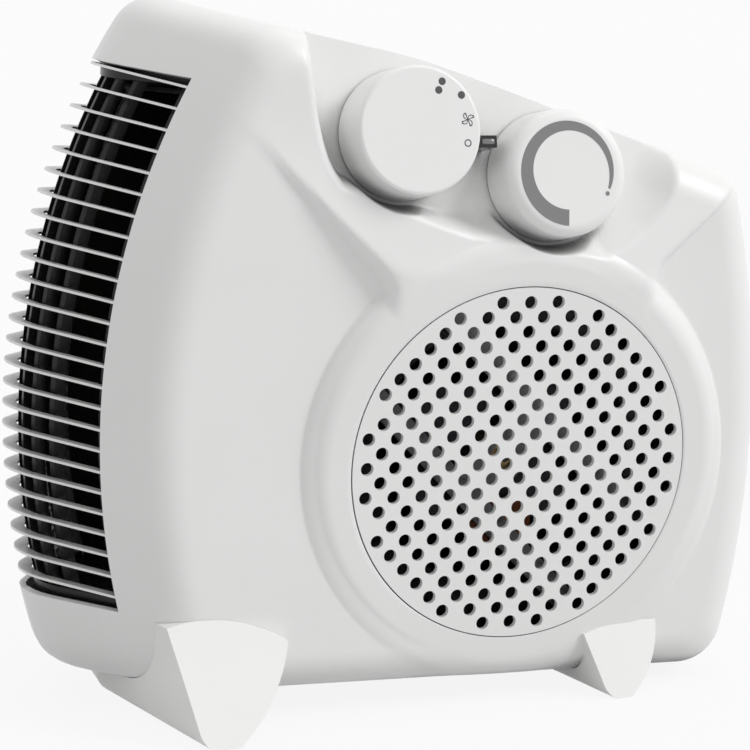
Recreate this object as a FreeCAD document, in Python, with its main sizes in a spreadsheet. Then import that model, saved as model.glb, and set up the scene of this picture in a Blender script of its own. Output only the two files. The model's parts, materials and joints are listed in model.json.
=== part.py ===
"""White upright fan heater: casing halves, outlet grille, knobs, fan, heater and feet as separate pieces.

Casing frame (mm): X to the right seen from the intake face, outlet end at -X, Y to the back, Z up.
Its origin is the centre of the intake disc, projected on the parting plane Y = 0.
The whole casing leans a little so that its two unequal feet stand on the plane Z = 0.
"""
import FreeCAD, Part
import Sketcher
import math
import os

V3 = FreeCAD.Vector
doc = FreeCAD.newDocument("fan_heater")
sheet = doc.addObject("Spreadsheet::Sheet", "Sizes")

SIZES = [
    # casing outline
    ("wall", 2.2), ("half_depth", 60), ("nose_x", 159.3), ("nose_z", 12), ("nose_bow", 245),
    ("nose_radius", 28), ("nose_angle", 34), ("left_round", 16.8),
    ("right_x", 92.9), ("right_z", 8), ("right_bow", 320),
    ("top_height", 132.4), ("top_slope", 11.6), ("top_break", 31), ("top_fall", 18.6), ("top_blend", 200),
    ("bottom_drop", 76), ("edge_round", 13), ("draft", 1), ("corner_tl", 16), ("corner_tr", 12),
    ("corner_br", 16), ("corner_bl", 15), ("corner_bl_growth", 0.25), ("lean", 2.28), ("ground_drop", 81.4),
    # raised platform and flare
    ("disc_tilt", 3), ("disc_proud", 4), ("disc_radius", 76), ("disc_round", 9), ("flare_tilt", 10.8),
    ("flare_fade", 99.5), ("flare_run", 0.08), ("neck_left", 50), ("neck_right", 47), ("neck_height", 58),
    ("flare_top", 116.2),
    # knob recess
    ("recess_tilt", 12), ("recess_floor", 56), ("recess_low", 65), ("recess_left", 71), ("recess_right", 57),
    ("recess_flank", 4), ("recess_left_up", 56), ("recess_left_mid", 22), ("recess_foot", 4),
    ("recess_right_mid", 8.5), ("recess_right_up", 33), ("recess_over", 60), ("floor_gap", 0.8),
    # intake disc
    ("grille_radius", 59.5), ("grille_thick", 2), ("hole_pitch", 7), ("hole_radius", 2.2), ("seam", 0.35),
    ("hole_ring", 7.95), ("ledge", 3.5), ("seat_gap", 0.2),
    # outlet
    ("outlet_top", 125), ("outlet_rise", 6.5), ("outlet_bottom", 49.5), ("outlet_half", 40),
    ("slat_count", 25), ("slat_top", 122.1), ("slat_tilt", 6.5), ("slat_fan", 0.2),
    ("slat_pitch", 6.946), ("slat_thick", 0.8), ("slat_width", 5), ("slat_inset", 0.4), ("stile_width", 3.5),
    ("guard_inset", 5.9), ("guard_lap", 0.5), ("guard_lap_low", 1.1), ("guard_back", 1.4), ("guard_rail", 3),
    ("guard_bar", 1.6), ("guard_depth", 3), ("guard_reach", 35),
    # knobs
    ("knob_radius", 21.5), ("knob_top_radius", 21), ("knob_height", 19), ("knob_cap", 2.4), ("knob_wall", 2),
    ("knob_boss", 5.5), ("shaft_radius", 2.96), ("shaft_bore", 3.02), ("bore_top", 14), ("shaft_tail", 14),
    ("mode_x", 41), ("mode_up", 43.1), ("thermo_x", 10.8), ("thermo_up", 29.4),
    ("mode_edge", 1.2), ("thermo_edge", 4), ("shaft_hole", 3.8),
    ("switch_radius", 14), ("switch_depth", 16), ("thermo_long", 34), ("thermo_wide", 16), ("thermo_deep", 14),
    ("lens_x", 15), ("lens_up", 39.9), ("lens_long", 6), ("lens_wide", 4), ("lens_height", 13), ("lens_tail", 7),
    ("lens_slot", 0.25), ("lamp_radius", 1.9), ("lamp_long", 10),
    # feet
    ("big_x", 106), ("big_reach", 83), ("big_slope", 31.7), ("big_left", 11.5), ("big_right", 23.5),
    ("big_sole_left", 7.5), ("big_sole_right", 5), ("big_spread", 11.5), ("big_top_outer", 50.5), ("big_top_mid", 49),
    ("big_top_inner", 56),
    ("small_x", 37.5), ("small_reach", 72.5), ("small_slope", 27.6), ("small_left", 9), ("small_right", 15.5),
    ("small_sole_left", 5), ("small_sole_right", 4.5), ("small_spread", 9), ("small_top_outer", 60),
    ("small_top_mid", 56.8), ("small_top_inner", 56),
    ("sole_trim", 0.5), ("sole_round", 5), ("sole_edge", 4.2), ("flank_bow", 2.6), ("foot_seat", 0.15), 
    ("foot_screw_y", 30), ("foot_head", 3.5), ("foot_pilot", 1.6), ("foot_floor", 2.5), ("foot_head_high", 1.6),
    # case screws
    ("boss_radius", 4.5), ("pilot", 1.5), ("screw_radius", 1.45), ("head_radius", 3.4), ("head_high", 2.4),
    ("sink_radius", 4.0), ("sink_floor", 10), ("screw_reach", 14),
    # fan and motor
    ("scroll_front", 48.5), ("scroll_rear", 28), ("scroll_wall", 1.8), ("inlet_radius", 46), ("scroll_left", 78),
    ("scroll_low", 46), ("scroll_under", 7), ("scroll_tail", 8), ("scroll_over", 27), ("scroll_high", 31),
    ("scroll_post", 4), ("scroll_ear", 5),
    ("wheel_radius", 53), ("wheel_inner", 45), ("wheel_front", 44), ("wheel_rear", 18), ("blade_count", 32),
    ("blade_thick", 1.2), ("plate_thick", 1.6), ("hub_radius", 7), ("hub_long", 14),
    ("core_wide", 56), ("core_high", 46), ("core_front", 42), ("core_thick", 18), ("rotor_bore", 13),
    ("rotor_radius", 12.6), ("motor_shaft_radius", 2), ("bearing_radius", 6), ("bearing_long", 5),
    ("bearing_clear", 0.03), ("rail_offset", 18.4), ("rail_wide", 8), ("rail_thick", 1.4), ("rail_half", 56),
    ("bridge_wide", 15), ("bridge_bore", 4.5), ("post_radius", 2.4), ("tack_radius", 2.6), ("tack_high", 1.6),
    ("tack_inset", 5), ("coil_wide", 24), ("coil_high", 16), ("coil_drop", 8.2), ("coil_over", 5),
    # heater
    ("duct_half", 38.5), ("duct_wall", 1.5), ("duct_top", 120), ("duct_bottom", 49), ("duct_margin", 1.2),
    ("mouth_inset", 4),
    ("board_thick", 0.8), ("board_count", 4), ("board_step", 17), ("board_left", 106), ("board_right", 84),
    ("board_top", 80), ("board_shift", 4), ("tie_inset", 6), ("ribbon_low", 14), ("ribbon_high", 12),
    ("ribbon_thick", 0.4), ("ribbon_wide", 12), ("ribbon_pitch", 8),
    ("cutout_radius", 6.5), ("cutout_high", 7), ("fuse_radius", 2), ("fuse_long", 12.6),
    # supply
    ("gland_x", 72), ("gland_z", 46), ("gland_radius", 7), ("gland_bore", 3.6), ("gland_flange", 10),
    ("gland_out", 5), ("gland_flange_thick", 2), ("block_long", 36), ("block_wide", 17), ("block_high", 14),
    ("gland_in", 6), ("gland_neck", 2), ("block_back", 55), ("block_drop", 14), ("block_pitch", 10.6),
    ("way_radius", 2.2), ("way_deep", 7),
]


def fill_sheet():
    """Each driving size is one cell with its own alias."""
    for row, (alias, value) in enumerate(SIZES, start=1):
        sheet.set("A%d" % row, alias)
        sheet.set("B%d" % row, str(value))
        sheet.setAlias("B%d" % row, alias)
    doc.recompute()


fill_sheet()


def s(alias):
    return float(sheet.get(alias))


def tan_of(alias):
    return math.tan(math.radians(s(alias)))


def cos_of(alias):
    return math.cos(math.radians(s(alias)))


def sin_of(alias):
    return math.sin(math.radians(s(alias)))


# The casing turns about Y and rises so that both soles lie on Z = 0.
LEAN = FreeCAD.Placement(V3(0, 0, s("ground_drop")), FreeCAD.Rotation(V3(0, 1, 0), s("lean")))


def feature(name, shape):
    """A free-form piece drawn in the casing frame."""
    obj = doc.addObject("Part::Feature", name)
    obj.Label = name
    obj.Shape = shape
    obj.Placement = LEAN.multiply(shape.Placement)
    return obj


def new_body(name, place):
    body = doc.addObject("PartDesign::Body", name)
    body.Label = name
    body.Placement = LEAN.multiply(place)
    return body


def plane(body, role):
    return [f for f in body.Origin.OriginFeatures if f.Role == role][0]


def sketch_on(body, name, role, lift=None):
    sk = body.newObject("Sketcher::SketchObject", name)
    sk.AttachmentSupport = [(plane(body, role), "")]
    sk.MapMode = "FlatFace"
    if lift:
        sk.setExpression("AttachmentOffset.Base.z", lift)
    return sk


def bind(sk, kind, items, expression, value):
    """Add one driving dimension and tie it to its cells."""
    index = sk.addConstraint(Sketcher.Constraint(kind, *items, value))
    sk.setExpression("Constraints[%d]" % index, expression)



def circle(sk, alias, cx=0.0, cy=0.0):
    """A circle about the sketch origin with its radius tied to one cell."""
    index = sk.addGeometry(Part.Circle(V3(cx, cy, 0), V3(0, 0, 1), s(alias)), False)
    if cx == 0.0 and cy == 0.0:
        sk.addConstraint(Sketcher.Constraint("Coincident", index, 3, -1, 1))
    bind(sk, "Radius", (index,), "Sizes." + alias, s(alias))


def rectangle(sk, wide, high):
    """A rectangle centred on the sketch origin, both sides tied to cells."""
    w, h = s(wide) / 2, s(high) / 2
    corners = [V3(-w, -h, 0), V3(w, -h, 0), V3(w, h, 0), V3(-w, h, 0)]
    for a, b in zip(corners, corners[1:] + corners[:1]):
        sk.addGeometry(Part.LineSegment(a, b), False)
    for k in range(4):
        sk.addConstraint(Sketcher.Constraint("Coincident", k, 2, (k + 1) % 4, 1))
    for k, kind in enumerate(("Horizontal", "Vertical", "Horizontal", "Vertical")):
        sk.addConstraint(Sketcher.Constraint(kind, k))
    sk.addConstraint(Sketcher.Constraint("Symmetric", 0, 1, 2, 1, -1, 1))
    bind(sk, "DistanceX", (0, 1, 0, 2), "Sizes." + wide, s(wide))
    bind(sk, "DistanceY", (1, 1, 1, 2), "Sizes." + high, s(high))


def profile(sk, points):
    """A closed polygon; each corner is (x, x expression, y, y expression), tied to the sketch origin."""
    count = len(points)
    for k in range(count):
        a, b = points[k], points[(k + 1) % count]
        sk.addGeometry(Part.LineSegment(V3(a[0], a[2], 0), V3(b[0], b[2], 0)), False)
    for k in range(count):
        sk.addConstraint(Sketcher.Constraint("Coincident", k, 2, (k + 1) % count, 1))
    for k, (x, ex, y, ey) in enumerate(points):
        if ex:
            bind(sk, "DistanceX", (-1, 1, k, 1), ex, x)
        else:
            sk.addConstraint(Sketcher.Constraint("PointOnObject", k, 1, -2))
        if ey:
            bind(sk, "DistanceY", (-1, 1, k, 1), ey, y)
        else:
            sk.addConstraint(Sketcher.Constraint("PointOnObject", k, 1, -1))


def pad(body, sk, name, length):
    feat = body.newObject("PartDesign::Pad", name)
    feat.Profile = sk
    feat.setExpression("Length", length)
    return feat


def pocket(body, sk, name, length, reverse=False):
    feat = body.newObject("PartDesign::Pocket", name)
    feat.Profile = sk
    feat.Reversed = reverse
    feat.setExpression("Length", length)
    return feat


def turned(body, sk, name):
    feat = body.newObject("PartDesign::Revolution", name)
    feat.Profile = sk
    feat.ReferenceAxis = (sk, ["V_Axis"])
    feat.Angle = 360
    return feat


# Casing outline

def side_inset(t, skin):
    """Inset of the top, right and bottom sides at distance t from the parting plane, skin mm inside."""
    depth, radius = s("half_depth") - skin, s("edge_round") - skin
    start = depth - radius
    if t <= start:
        return skin + t * tan_of("draft")
    turn = math.acos(max(0.0, min(1.0, 1 - (depth - t) / radius)))
    return skin + start * tan_of("draft") + radius * (1 - math.sin(turn))


def nose_line(t, q):
    """X of the outlet nose in plan at distance t from the parting plane, q inside the outer skin."""
    radius = s("nose_radius") - q
    centre = -s("nose_x") + s("nose_radius")
    if t <= radius * sin_of("nose_angle"):
        return centre - math.sqrt(radius ** 2 - t ** 2)
    return centre - (radius - t * sin_of("nose_angle")) / cos_of("nose_angle")


def left_inset(t, skin):
    """Inset of the outlet side: round nose, straight flank, then the round into the front panel."""
    depth, radius = s("half_depth") - skin, s("left_round") - skin
    turn = math.radians(90 - s("nose_angle"))
    start = depth - radius * (1 - math.cos(turn))
    if t <= start:
        return nose_line(t, skin) + s("nose_x")
    now = math.acos(max(-1.0, min(1.0, 1 - (depth - t) / radius)))
    return nose_line(start, skin) + s("nose_x") + radius * (math.sin(turn) - math.sin(now))


def sag(z):
    """How far the outlet side draws back at height z from its widest height."""
    return s("nose_bow") - math.sqrt(s("nose_bow") ** 2 - (z - s("nose_z")) ** 2)


def meet(origin, direction, centre, radius, far):
    """Where a line meets a circle, the far or the near crossing along the line."""
    rel = origin - centre
    b = rel.dot(direction)
    root = math.sqrt(b * b - rel.dot(rel) + radius ** 2)
    return origin + direction * (-b + (root if far else -root))


def outline(y, a, b):
    """Closed casing outline in the plane Y = y; a insets the outlet side, b the other sides."""
    lc = V3(-s("nose_x") + a + s("nose_bow"), y, s("nose_z"))
    rc = V3(s("right_x") - b - s("right_bow"), y, s("right_z"))
    rise_dir = V3(cos_of("top_slope"), 0, -sin_of("top_slope"))
    rise_up = V3(sin_of("top_slope"), 0, cos_of("top_slope"))
    fall_dir = V3(cos_of("top_fall"), 0, -sin_of("top_fall"))
    fall_up = V3(sin_of("top_fall"), 0, cos_of("top_fall"))
    half_turn = math.radians(s("top_fall") - s("top_slope")) / 2
    blend = s("top_blend") - b
    knee_up = (rise_up + fall_up).normalize()
    knee = V3(-s("top_break"), y, s("top_height")) - knee_up * (b / math.cos(half_turn))
    knee_left = knee - rise_dir * (blend * math.tan(half_turn))
    knee_mid = knee - knee_up * (blend / math.cos(half_turn) - blend)
    knee_right = knee + fall_dir * (blend * math.tan(half_turn))
    low_dir = V3(1, 0, 0)
    low_up = V3(0, 0, -1)
    low_at = V3(0, y, -s("bottom_drop") + b)

    def corner(alias, at, direction, up, centre, bow, far, more=0.0):
        r = max(s(alias) - 0.5 * b + more, 3.0)
        c = meet(at - up * r, direction, centre, bow - r, far)
        on_line = c + up * r
        on_bow = centre + (c - centre) * (bow / (bow - r))
        mid = c + ((on_line - c) + (on_bow - c)).normalize() * r
        return on_line, mid, on_bow

    tl = corner("corner_tl", knee, rise_dir, rise_up, lc, s("nose_bow"), False)
    tr = corner("corner_tr", knee, fall_dir, fall_up, rc, s("right_bow"), True)
    br = corner("corner_br", low_at, low_dir, low_up, rc, s("right_bow"), True)
    bl = corner("corner_bl", low_at, low_dir, low_up, lc, s("nose_bow"), False, a * s("corner_bl_growth"))
    left_mid = lc + ((tl[2] - lc) + (bl[2] - lc)).normalize() * s("nose_bow")
    right_mid = rc + ((tr[2] - rc) + (br[2] - rc)).normalize() * s("right_bow")
    return Part.Wire([
        Part.Arc(tl[2], tl[1], tl[0]).toShape(), Part.makeLine(tl[0], knee_left),
        Part.Arc(knee_left, knee_mid, knee_right).toShape(), Part.makeLine(knee_right, tr[0]),
        Part.Arc(tr[0], tr[1], tr[2]).toShape(), Part.Arc(tr[2], right_mid, br[2]).toShape(),
        Part.Arc(br[2], br[1], br[0]).toShape(), Part.makeLine(br[0], bl[0]),
        Part.Arc(bl[0], bl[1], bl[2]).toShape(), Part.Arc(bl[2], left_mid, tl[2]).toShape()])


STATIONS = [0, 0.13, 0.26, 0.4, 0.57, 0.73, 0.783, 0.83, 0.88, 0.925, 0.96, 0.985, 0.997, 1]


def half_form(skin):
    """Solid front half of the casing, its surface skin mm inside the outer one."""
    depth = s("half_depth") - skin
    wires = []
    for share in STATIONS:
        t = share * depth
        wires.append(outline(-t, left_inset(t, skin), side_inset(t, skin)))
    return Part.makeLoft(wires, True, False)


def both_halves(skin):
    """Solid casing form, both halves, skin mm inside the outer one."""
    front = half_form(skin)
    return front.fuse(front.mirror(V3(0, 0, 0), V3(0, 1, 0))).removeSplitter()


def grille_place():
    """Frame of the intake disc: Z along its axis, outwards, leaning forward."""
    at = V3(0, -s("half_depth") - s("disc_proud"), 0)
    return FreeCAD.Placement(at, FreeCAD.Rotation(V3(1, 0, 0), 90 + s("disc_tilt")))


def disc_form(radius, low, high):
    """A disc on the intake axis between two heights measured from the platform face."""
    shape = Part.makeCylinder(radius, high - low, V3(0, 0, low))
    shape.Placement = grille_place()
    return shape


def platform():
    """Round platform with a full round on its edge."""
    shape = Part.makeCylinder(s("disc_radius"), 30, V3(0, 0, -30))
    rim = [e for e in shape.Edges if e.BoundBox.ZMin > -1e-6]
    shape = shape.makeFillet(s("disc_round"), rim)
    shape.Placement = grille_place()
    return shape


def flare_section(y, off):
    """Flare outline on the casing front: straight left edge, curved right edge, drawn in by off."""
    zn = s("neck_height")
    top = s("flare_top")
    left = [(-s("neck_left") + off, zn - 14), (-s("neck_left") + off, zn + 2),
            (-s("neck_left") - 62 + off * 1.1, zn + 68)]
    right = [(s("neck_right") + 45 - off, top - 12), (s("neck_right") + 13 - off, zn + 20),
             (s("neck_right") - off, zn + 5), (s("neck_right") - off, zn - 14)]
    pts = [V3(x, y, z) for x, z in left + right]
    return Part.makePolygon(pts + pts[:1])


def flare():
    """Raised field around the knobs; its face falls back to the front panel towards the top."""
    rise = tan_of("flare_tilt")
    depth = s("half_depth")
    rows = [(depth - 12, 0), (depth, 0), (depth + 4.5, 2.2), (depth + 8, 6), (depth + 10, 11)]
    body = Part.makeLoft([flare_section(-y, off) for y, off in rows], True, True)
    normal = V3(-s("flare_run") * rise, 1, -rise)
    keep = Part.makeBox(500, 120, 500, V3(-250, 0, -250))
    keep.Placement = FreeCAD.Placement(V3(0, -depth, s("flare_fade")),
                                       FreeCAD.Rotation(V3(0, 1, 0), normal))
    edge = outline(-depth - 30, left_inset(depth, 0) - 0.4, side_inset(depth, 0) - 0.4)
    panel = Part.Face(edge).extrude(V3(0, 60, 0))
    under = Part.makeBox(400, 400, 60, V3(-200, -200, -60.03))
    under.Placement = grille_place()
    return body.common(keep).common(panel).common(under)


def recess_place():
    """Frame of the recess floor: X right, Y up the slope, Z out of the floor."""
    at = V3(0, -s("recess_floor"), s("recess_low"))
    return FreeCAD.Placement(at, FreeCAD.Rotation(V3(1, 0, 0), 90 - s("recess_tilt")))


def floor_place(x, up):
    """Frame standing on the recess floor at x along it and up the slope."""
    return recess_place().multiply(FreeCAD.Placement(V3(x, up, 0), FreeCAD.Rotation()))


def recess_wire(z, grow):
    """Bowl outline of the knob recess in the floor frame at height z above the floor."""
    left, right = -s("recess_left") - grow, s("recess_right") + grow
    low = -grow
    up = s("top_height") - s("recess_low") + s("recess_over")
    a = V3(left, s("recess_left_up"), z)
    b = V3(left * 0.72, s("recess_left_mid") + low * 0.8, z)
    c = V3(-s("recess_foot"), low, z)
    d = V3(right * 0.66, s("recess_right_mid") + low * 0.8, z)
    e = V3(right, s("recess_right_up"), z)
    f = V3(right + 3, up, z)
    g = V3(left, up, z)
    return Part.Wire([Part.Arc(a, b, c).toShape(), Part.Arc(c, d, e).toShape(), Part.makeLine(e, f),
                      Part.makeLine(f, g), Part.makeLine(g, a)])


def recess(grow, drop):
    """Pocket tool: floor plane, flanks opening outwards."""
    flank = s("recess_flank")
    shape = Part.makeLoft([recess_wire(-drop, grow), recess_wire(34, grow + 2.2 * flank)], True, True)
    shape.Placement = recess_place()
    return shape


def in_floor(shape, x, up):
    shape.Placement = floor_place(x, up)
    return shape


def outlet_cut():
    """Block that opens the outlet end; its top and bottom faces rise with the louvres."""
    half = s("outlet_half")
    edge = nose_line(half, 0)
    far = -s("nose_x") - 30
    low, high = -s("outlet_bottom"), s("outlet_top")
    inner = edge + 45
    rise = tan_of("outlet_rise")
    pts = [V3(inner, -half, low), V3(far, -half, low),
           V3(far, -half, high + rise * (edge + sag(high) - far)), V3(edge + sag(high), -half, high),
           V3(inner, -half, high)]
    return Part.Face(Part.makePolygon(pts + pts[:1])).extrude(V3(0, 2 * half, 0))


BOSSES = [("top_left", -80, 127), ("top_right", 74, 84), ("low_right", 76, -58), ("low_mid", -32, -67),
          ("low_left", -97, -64)]


def bosses(y0, y1, radius):
    return [Part.makeCylinder(radius, y1 - y0, V3(x, y0, z), V3(0, 1, 0)) for _, x, z in BOSSES]


def foot_screw_spots():
    """Plan positions of the foot screws, two in each foot."""
    y = s("foot_screw_y")
    return [(-s("big_x"), -y), (-s("big_x"), y), (s("small_x"), -y), (s("small_x"), y)]


def foot_screw_tools(radius, low, high):
    return [Part.makeCylinder(radius, high - low, V3(x, y, low)) for x, y in foot_screw_spots()]


def make_front_shell():
    depth, wall = s("half_depth"), s("wall")
    outer = half_form(0).fuse([platform(), flare()]).removeSplitter()
    behind = disc_form(s("disc_radius") - wall - s("disc_round") * 0.6, -26, -wall)
    cavity = half_form(wall).fuse(behind)
    cavity = cavity.cut(recess(wall, wall))
    shell = outer.cut(cavity).cut(recess(0, 0))
    ledge = disc_form(s("grille_radius") + wall, -s("grille_thick") - s("seat_gap") - wall,
                      -s("grille_thick") - s("seat_gap"))
    shell = shell.fuse(ledge)
    shell = shell.cut(disc_form(s("grille_radius") + s("seam"), -s("grille_thick") - s("seat_gap"), 6))
    shell = shell.cut(disc_form(s("grille_radius") - s("ledge"), -20, 6))
    shell = shell.cut(outlet_cut())
    keep = half_form(0.3)
    posts = [p.common(keep) for p in bosses(-depth + wall * 0.5, -1.0, s("boss_radius"))]
    shell = shell.fuse(posts)
    shell = shell.cut(bosses(-s("screw_reach") - 6, 1, s("pilot")))
    holes = [in_floor(Part.makeCylinder(s("shaft_hole"), 12, V3(0, 0, -8)), -s("mode_x"), s("mode_up")),
             in_floor(Part.makeCylinder(s("shaft_hole"), 12, V3(0, 0, -8)), s("thermo_x"), s("thermo_up"))]
    slot_l, slot_w = s("lens_long") + 2 * s("lens_slot"), s("lens_wide") + 2 * s("lens_slot")
    slot = Part.makeBox(slot_l, slot_w, 12, V3(-slot_l / 2, -slot_w / 2, -8))
    holes.append(in_floor(slot, -s("lens_x"), s("lens_up")))
    shell = shell.cut(holes)
    shell = shell.cut(foot_screw_tools(s("foot_pilot"), -s("bottom_drop") - 2, -s("bottom_drop") + 8))
    return feature("front_shell", shell)


def make_rear_shell():
    depth, wall = s("half_depth"), s("wall")
    shell = half_form(0).cut(half_form(wall)).cut(outlet_cut())
    shell = shell.mirror(V3(0, 0, 0), V3(0, 1, 0))
    keep = half_form(0.3).mirror(V3(0, 0, 0), V3(0, 1, 0))
    posts = [p.common(keep) for p in bosses(-0.8, depth - wall * 0.5, s("boss_radius") + 1.2)]
    scroll_posts = [Part.makeCylinder(s("scroll_post"), depth - wall * 0.5 - s("scroll_rear") - 0.2,
                                      V3(x, s("scroll_rear") + 0.2, z), V3(0, 1, 0)) for x, z in SCROLL_FIX]
    shell = shell.fuse(posts + scroll_posts)
    shell = shell.cut(bosses(s("sink_floor"), depth + 2, s("sink_radius")))
    shell = shell.cut(bosses(-2, depth, s("pilot") + 0.4))
    shell = shell.cut(Part.makeCylinder(s("gland_radius") + 0.1, 20, V3(s("gland_x"), depth - 10, -s("gland_z")),
                                        V3(0, 1, 0)))
    shell = shell.cut(foot_screw_tools(s("foot_pilot"), -s("bottom_drop") - 2, -s("bottom_drop") + 8))
    return feature("rear_shell", shell)


SCROLL_FIX = [(-56, 70), (48, 48), (41, -42), (-60, -44)]


def make_intake_grille():
    """Round disc with a square lattice of holes turned by 45 degrees, clipped to a circle."""
    body = Part.makeCylinder(s("grille_radius"), s("grille_thick"), V3(0, 0, -s("grille_thick")))
    pitch, reach = s("hole_pitch"), s("hole_ring")
    holes = []
    steps = [k + 0.5 for k in range(-9, 9)]
    for i in steps:
        for j in steps:
            if math.hypot(i, j) <= reach:
                at = V3((i + j) * pitch / math.sqrt(2), (j - i) * pitch / math.sqrt(2), -s("grille_thick") - 1)
                holes.append(Part.makeCylinder(s("hole_radius"), s("grille_thick") + 2, at))
    shape = body.cut(Part.makeCompound(holes))
    shape.Placement = grille_place()
    return feature("intake_grille", shape)


def slat_wire(outer, inner, half, z):
    """Plan outline of one strip that follows the outlet nose between two insets."""
    def run(q, sign):
        bend = (s("nose_radius") - q) * sin_of("nose_angle")
        return [V3(nose_line(half, q), -sign * half, z), V3(nose_line(bend, q), -sign * bend, z)]

    def bowed_edge(q):
        a, b = run(q, 1)
        d, c = run(q, -1)
        tip = V3(nose_line(0, q), 0, z)
        return a, d, [Part.makeLine(a, b), Part.Arc(b, tip, c).toShape(), Part.makeLine(c, d)]

    a0, d0, front = bowed_edge(outer)
    a1, d1, back = bowed_edge(inner)
    return Part.Wire(Part.__sortEdges__(front + [Part.makeLine(d0, d1)] + back + [Part.makeLine(a1, a0)]))


def strip(outer, inner, half, z, thick, tilt=0.0):
    """Flat strip at height z, turned up towards the nose about the outlet edge."""
    face = Part.Face(slat_wire(outer, inner, half, z))
    shape = face.extrude(V3(0, 0, thick))
    shape.translate(V3(sag(z), 0, 0))
    shape.rotate(V3(nose_line(s("outlet_half"), 0) + sag(z), 0, z), V3(0, 1, 0), tilt)
    return shape


def slat_tilt(z):
    """Louvre angle: a base tilt plus a share of the slope of the bow at that height."""
    return s("slat_tilt") + s("slat_fan") * math.degrees(math.asin((z - s("nose_z")) / s("nose_bow")))


def bowed_post(corners, low, high):
    """Upright post with a fixed plan section whose line follows the bow of the outlet side."""
    count = 9
    wires = []
    for k in range(count):
        z = low + (high - low) * k / (count - 1)
        pts = [V3(x + sag(z), y, z) for x, y in corners]
        wires.append(Part.makePolygon(pts + pts[:1]))
    return Part.makeLoft(wires, True, False)


def post_corners(inner_from, inner_to, y0, y1):
    """Plan corners of an upright post between two insets and two depths."""
    return [(nose_line(abs(y0), inner_from), y0), (nose_line(abs(y1), inner_from), y1),
            (nose_line(abs(y1), inner_to), y1), (nose_line(abs(y0), inner_to), y0)]


def make_outlet_grille():
    """Stack of thin slats between two upright stiles hidden behind the casing edge."""
    under = s("wall") + 0.35
    half = s("outlet_half")
    pieces = []
    for k in range(int(s("slat_count"))):
        z = s("slat_top") - k * s("slat_pitch") - s("slat_thick") / 2
        tilt = slat_tilt(z)
        outer = strip(s("slat_inset"), s("slat_width"), half - 0.3, z, s("slat_thick"), tilt)
        wide = strip(under, s("slat_width"), half + s("stile_width"), z, s("slat_thick"), tilt)
        pieces += [outer, wide]
    low, high = -s("outlet_bottom") + 0.5, s("outlet_top") - 0.5
    for sign in (-1, 1):
        y0, y1 = sign * (half + 0.6), sign * (half + s("stile_width"))
        pieces.append(bowed_post(post_corners(under, s("slat_width"), y0, y1), low, high))
    within = both_halves(s("slat_inset"))
    return feature("outlet_grille", pieces[0].fuse(pieces[1:]).removeSplitter().common(within))


GUARD_BARS = [-0.94, -0.45, -0.25, -0.05, 0.15, 0.35, 0.55, 0.94]


def make_outlet_guard():
    """Black bars behind the slats, joined by a rail at each end."""
    q0 = s("guard_inset")
    q1 = q0 + s("guard_depth")
    low, high = -s("outlet_bottom") + 1.0, s("outlet_top") - 1.0
    bars = []
    for share in GUARD_BARS:
        y = share * s("guard_reach")
        bars.append(bowed_post(post_corners(q0, q1, y - s("guard_bar") / 2, y + s("guard_bar") / 2), low, high))
    rail = s("guard_rail")
    for z, lap in ((low - rail / 3, s("guard_lap_low")), (high - rail * 2 / 3, s("guard_lap"))):
        bars.append(strip(q0 - lap, q1 + s("guard_back"), s("guard_reach") + 2, z, rail))
    return feature("outlet_guard", bars[0].fuse(bars[1:]).removeSplitter())


def foot_section(y, xs, tops, low):
    """Shield-shaped cross section: straight outer side, bowed inner side, rounded narrow sole."""
    top_left, top_right, sole_left, sole_right = xs
    a = V3(top_left, y, tops[0])
    edge, trim = s("sole_edge"), s("sole_trim")
    b = V3(sole_left - edge / 7, y, low(sole_left) + s("sole_round"))
    b_mid = V3(sole_left + edge / 4, y, low(sole_left) + s("sole_round") * 0.3)
    c = V3(sole_left + edge, y, low(sole_left + edge) - trim)
    d = V3(sole_right - edge / 3, y, low(sole_right) - trim)
    e = V3(top_right, y, tops[2])
    bow = V3((d.x + e.x) / 2 + s("flank_bow"), y, (d.z + e.z) / 2 - s("flank_bow") * 0.8)
    top = V3((top_left + top_right) / 2, y, tops[1])
    return Part.Wire([Part.makeLine(a, b), Part.Arc(b, b_mid, c).toShape(), Part.makeLine(c, d),
                      Part.Arc(d, bow, e).toShape(), Part.Arc(e, top, a).toShape()])


def ground_z(x):
    """Height of the floor in the casing frame."""
    return -(s("ground_drop") - x * sin_of("lean")) / cos_of("lean")


def under_floor():
    """Block whose upper face is the floor, in the casing frame."""
    block = Part.makeBox(600, 400, 50, V3(-300, -200, -50))
    block.Placement = LEAN.inverse()
    return block


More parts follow.
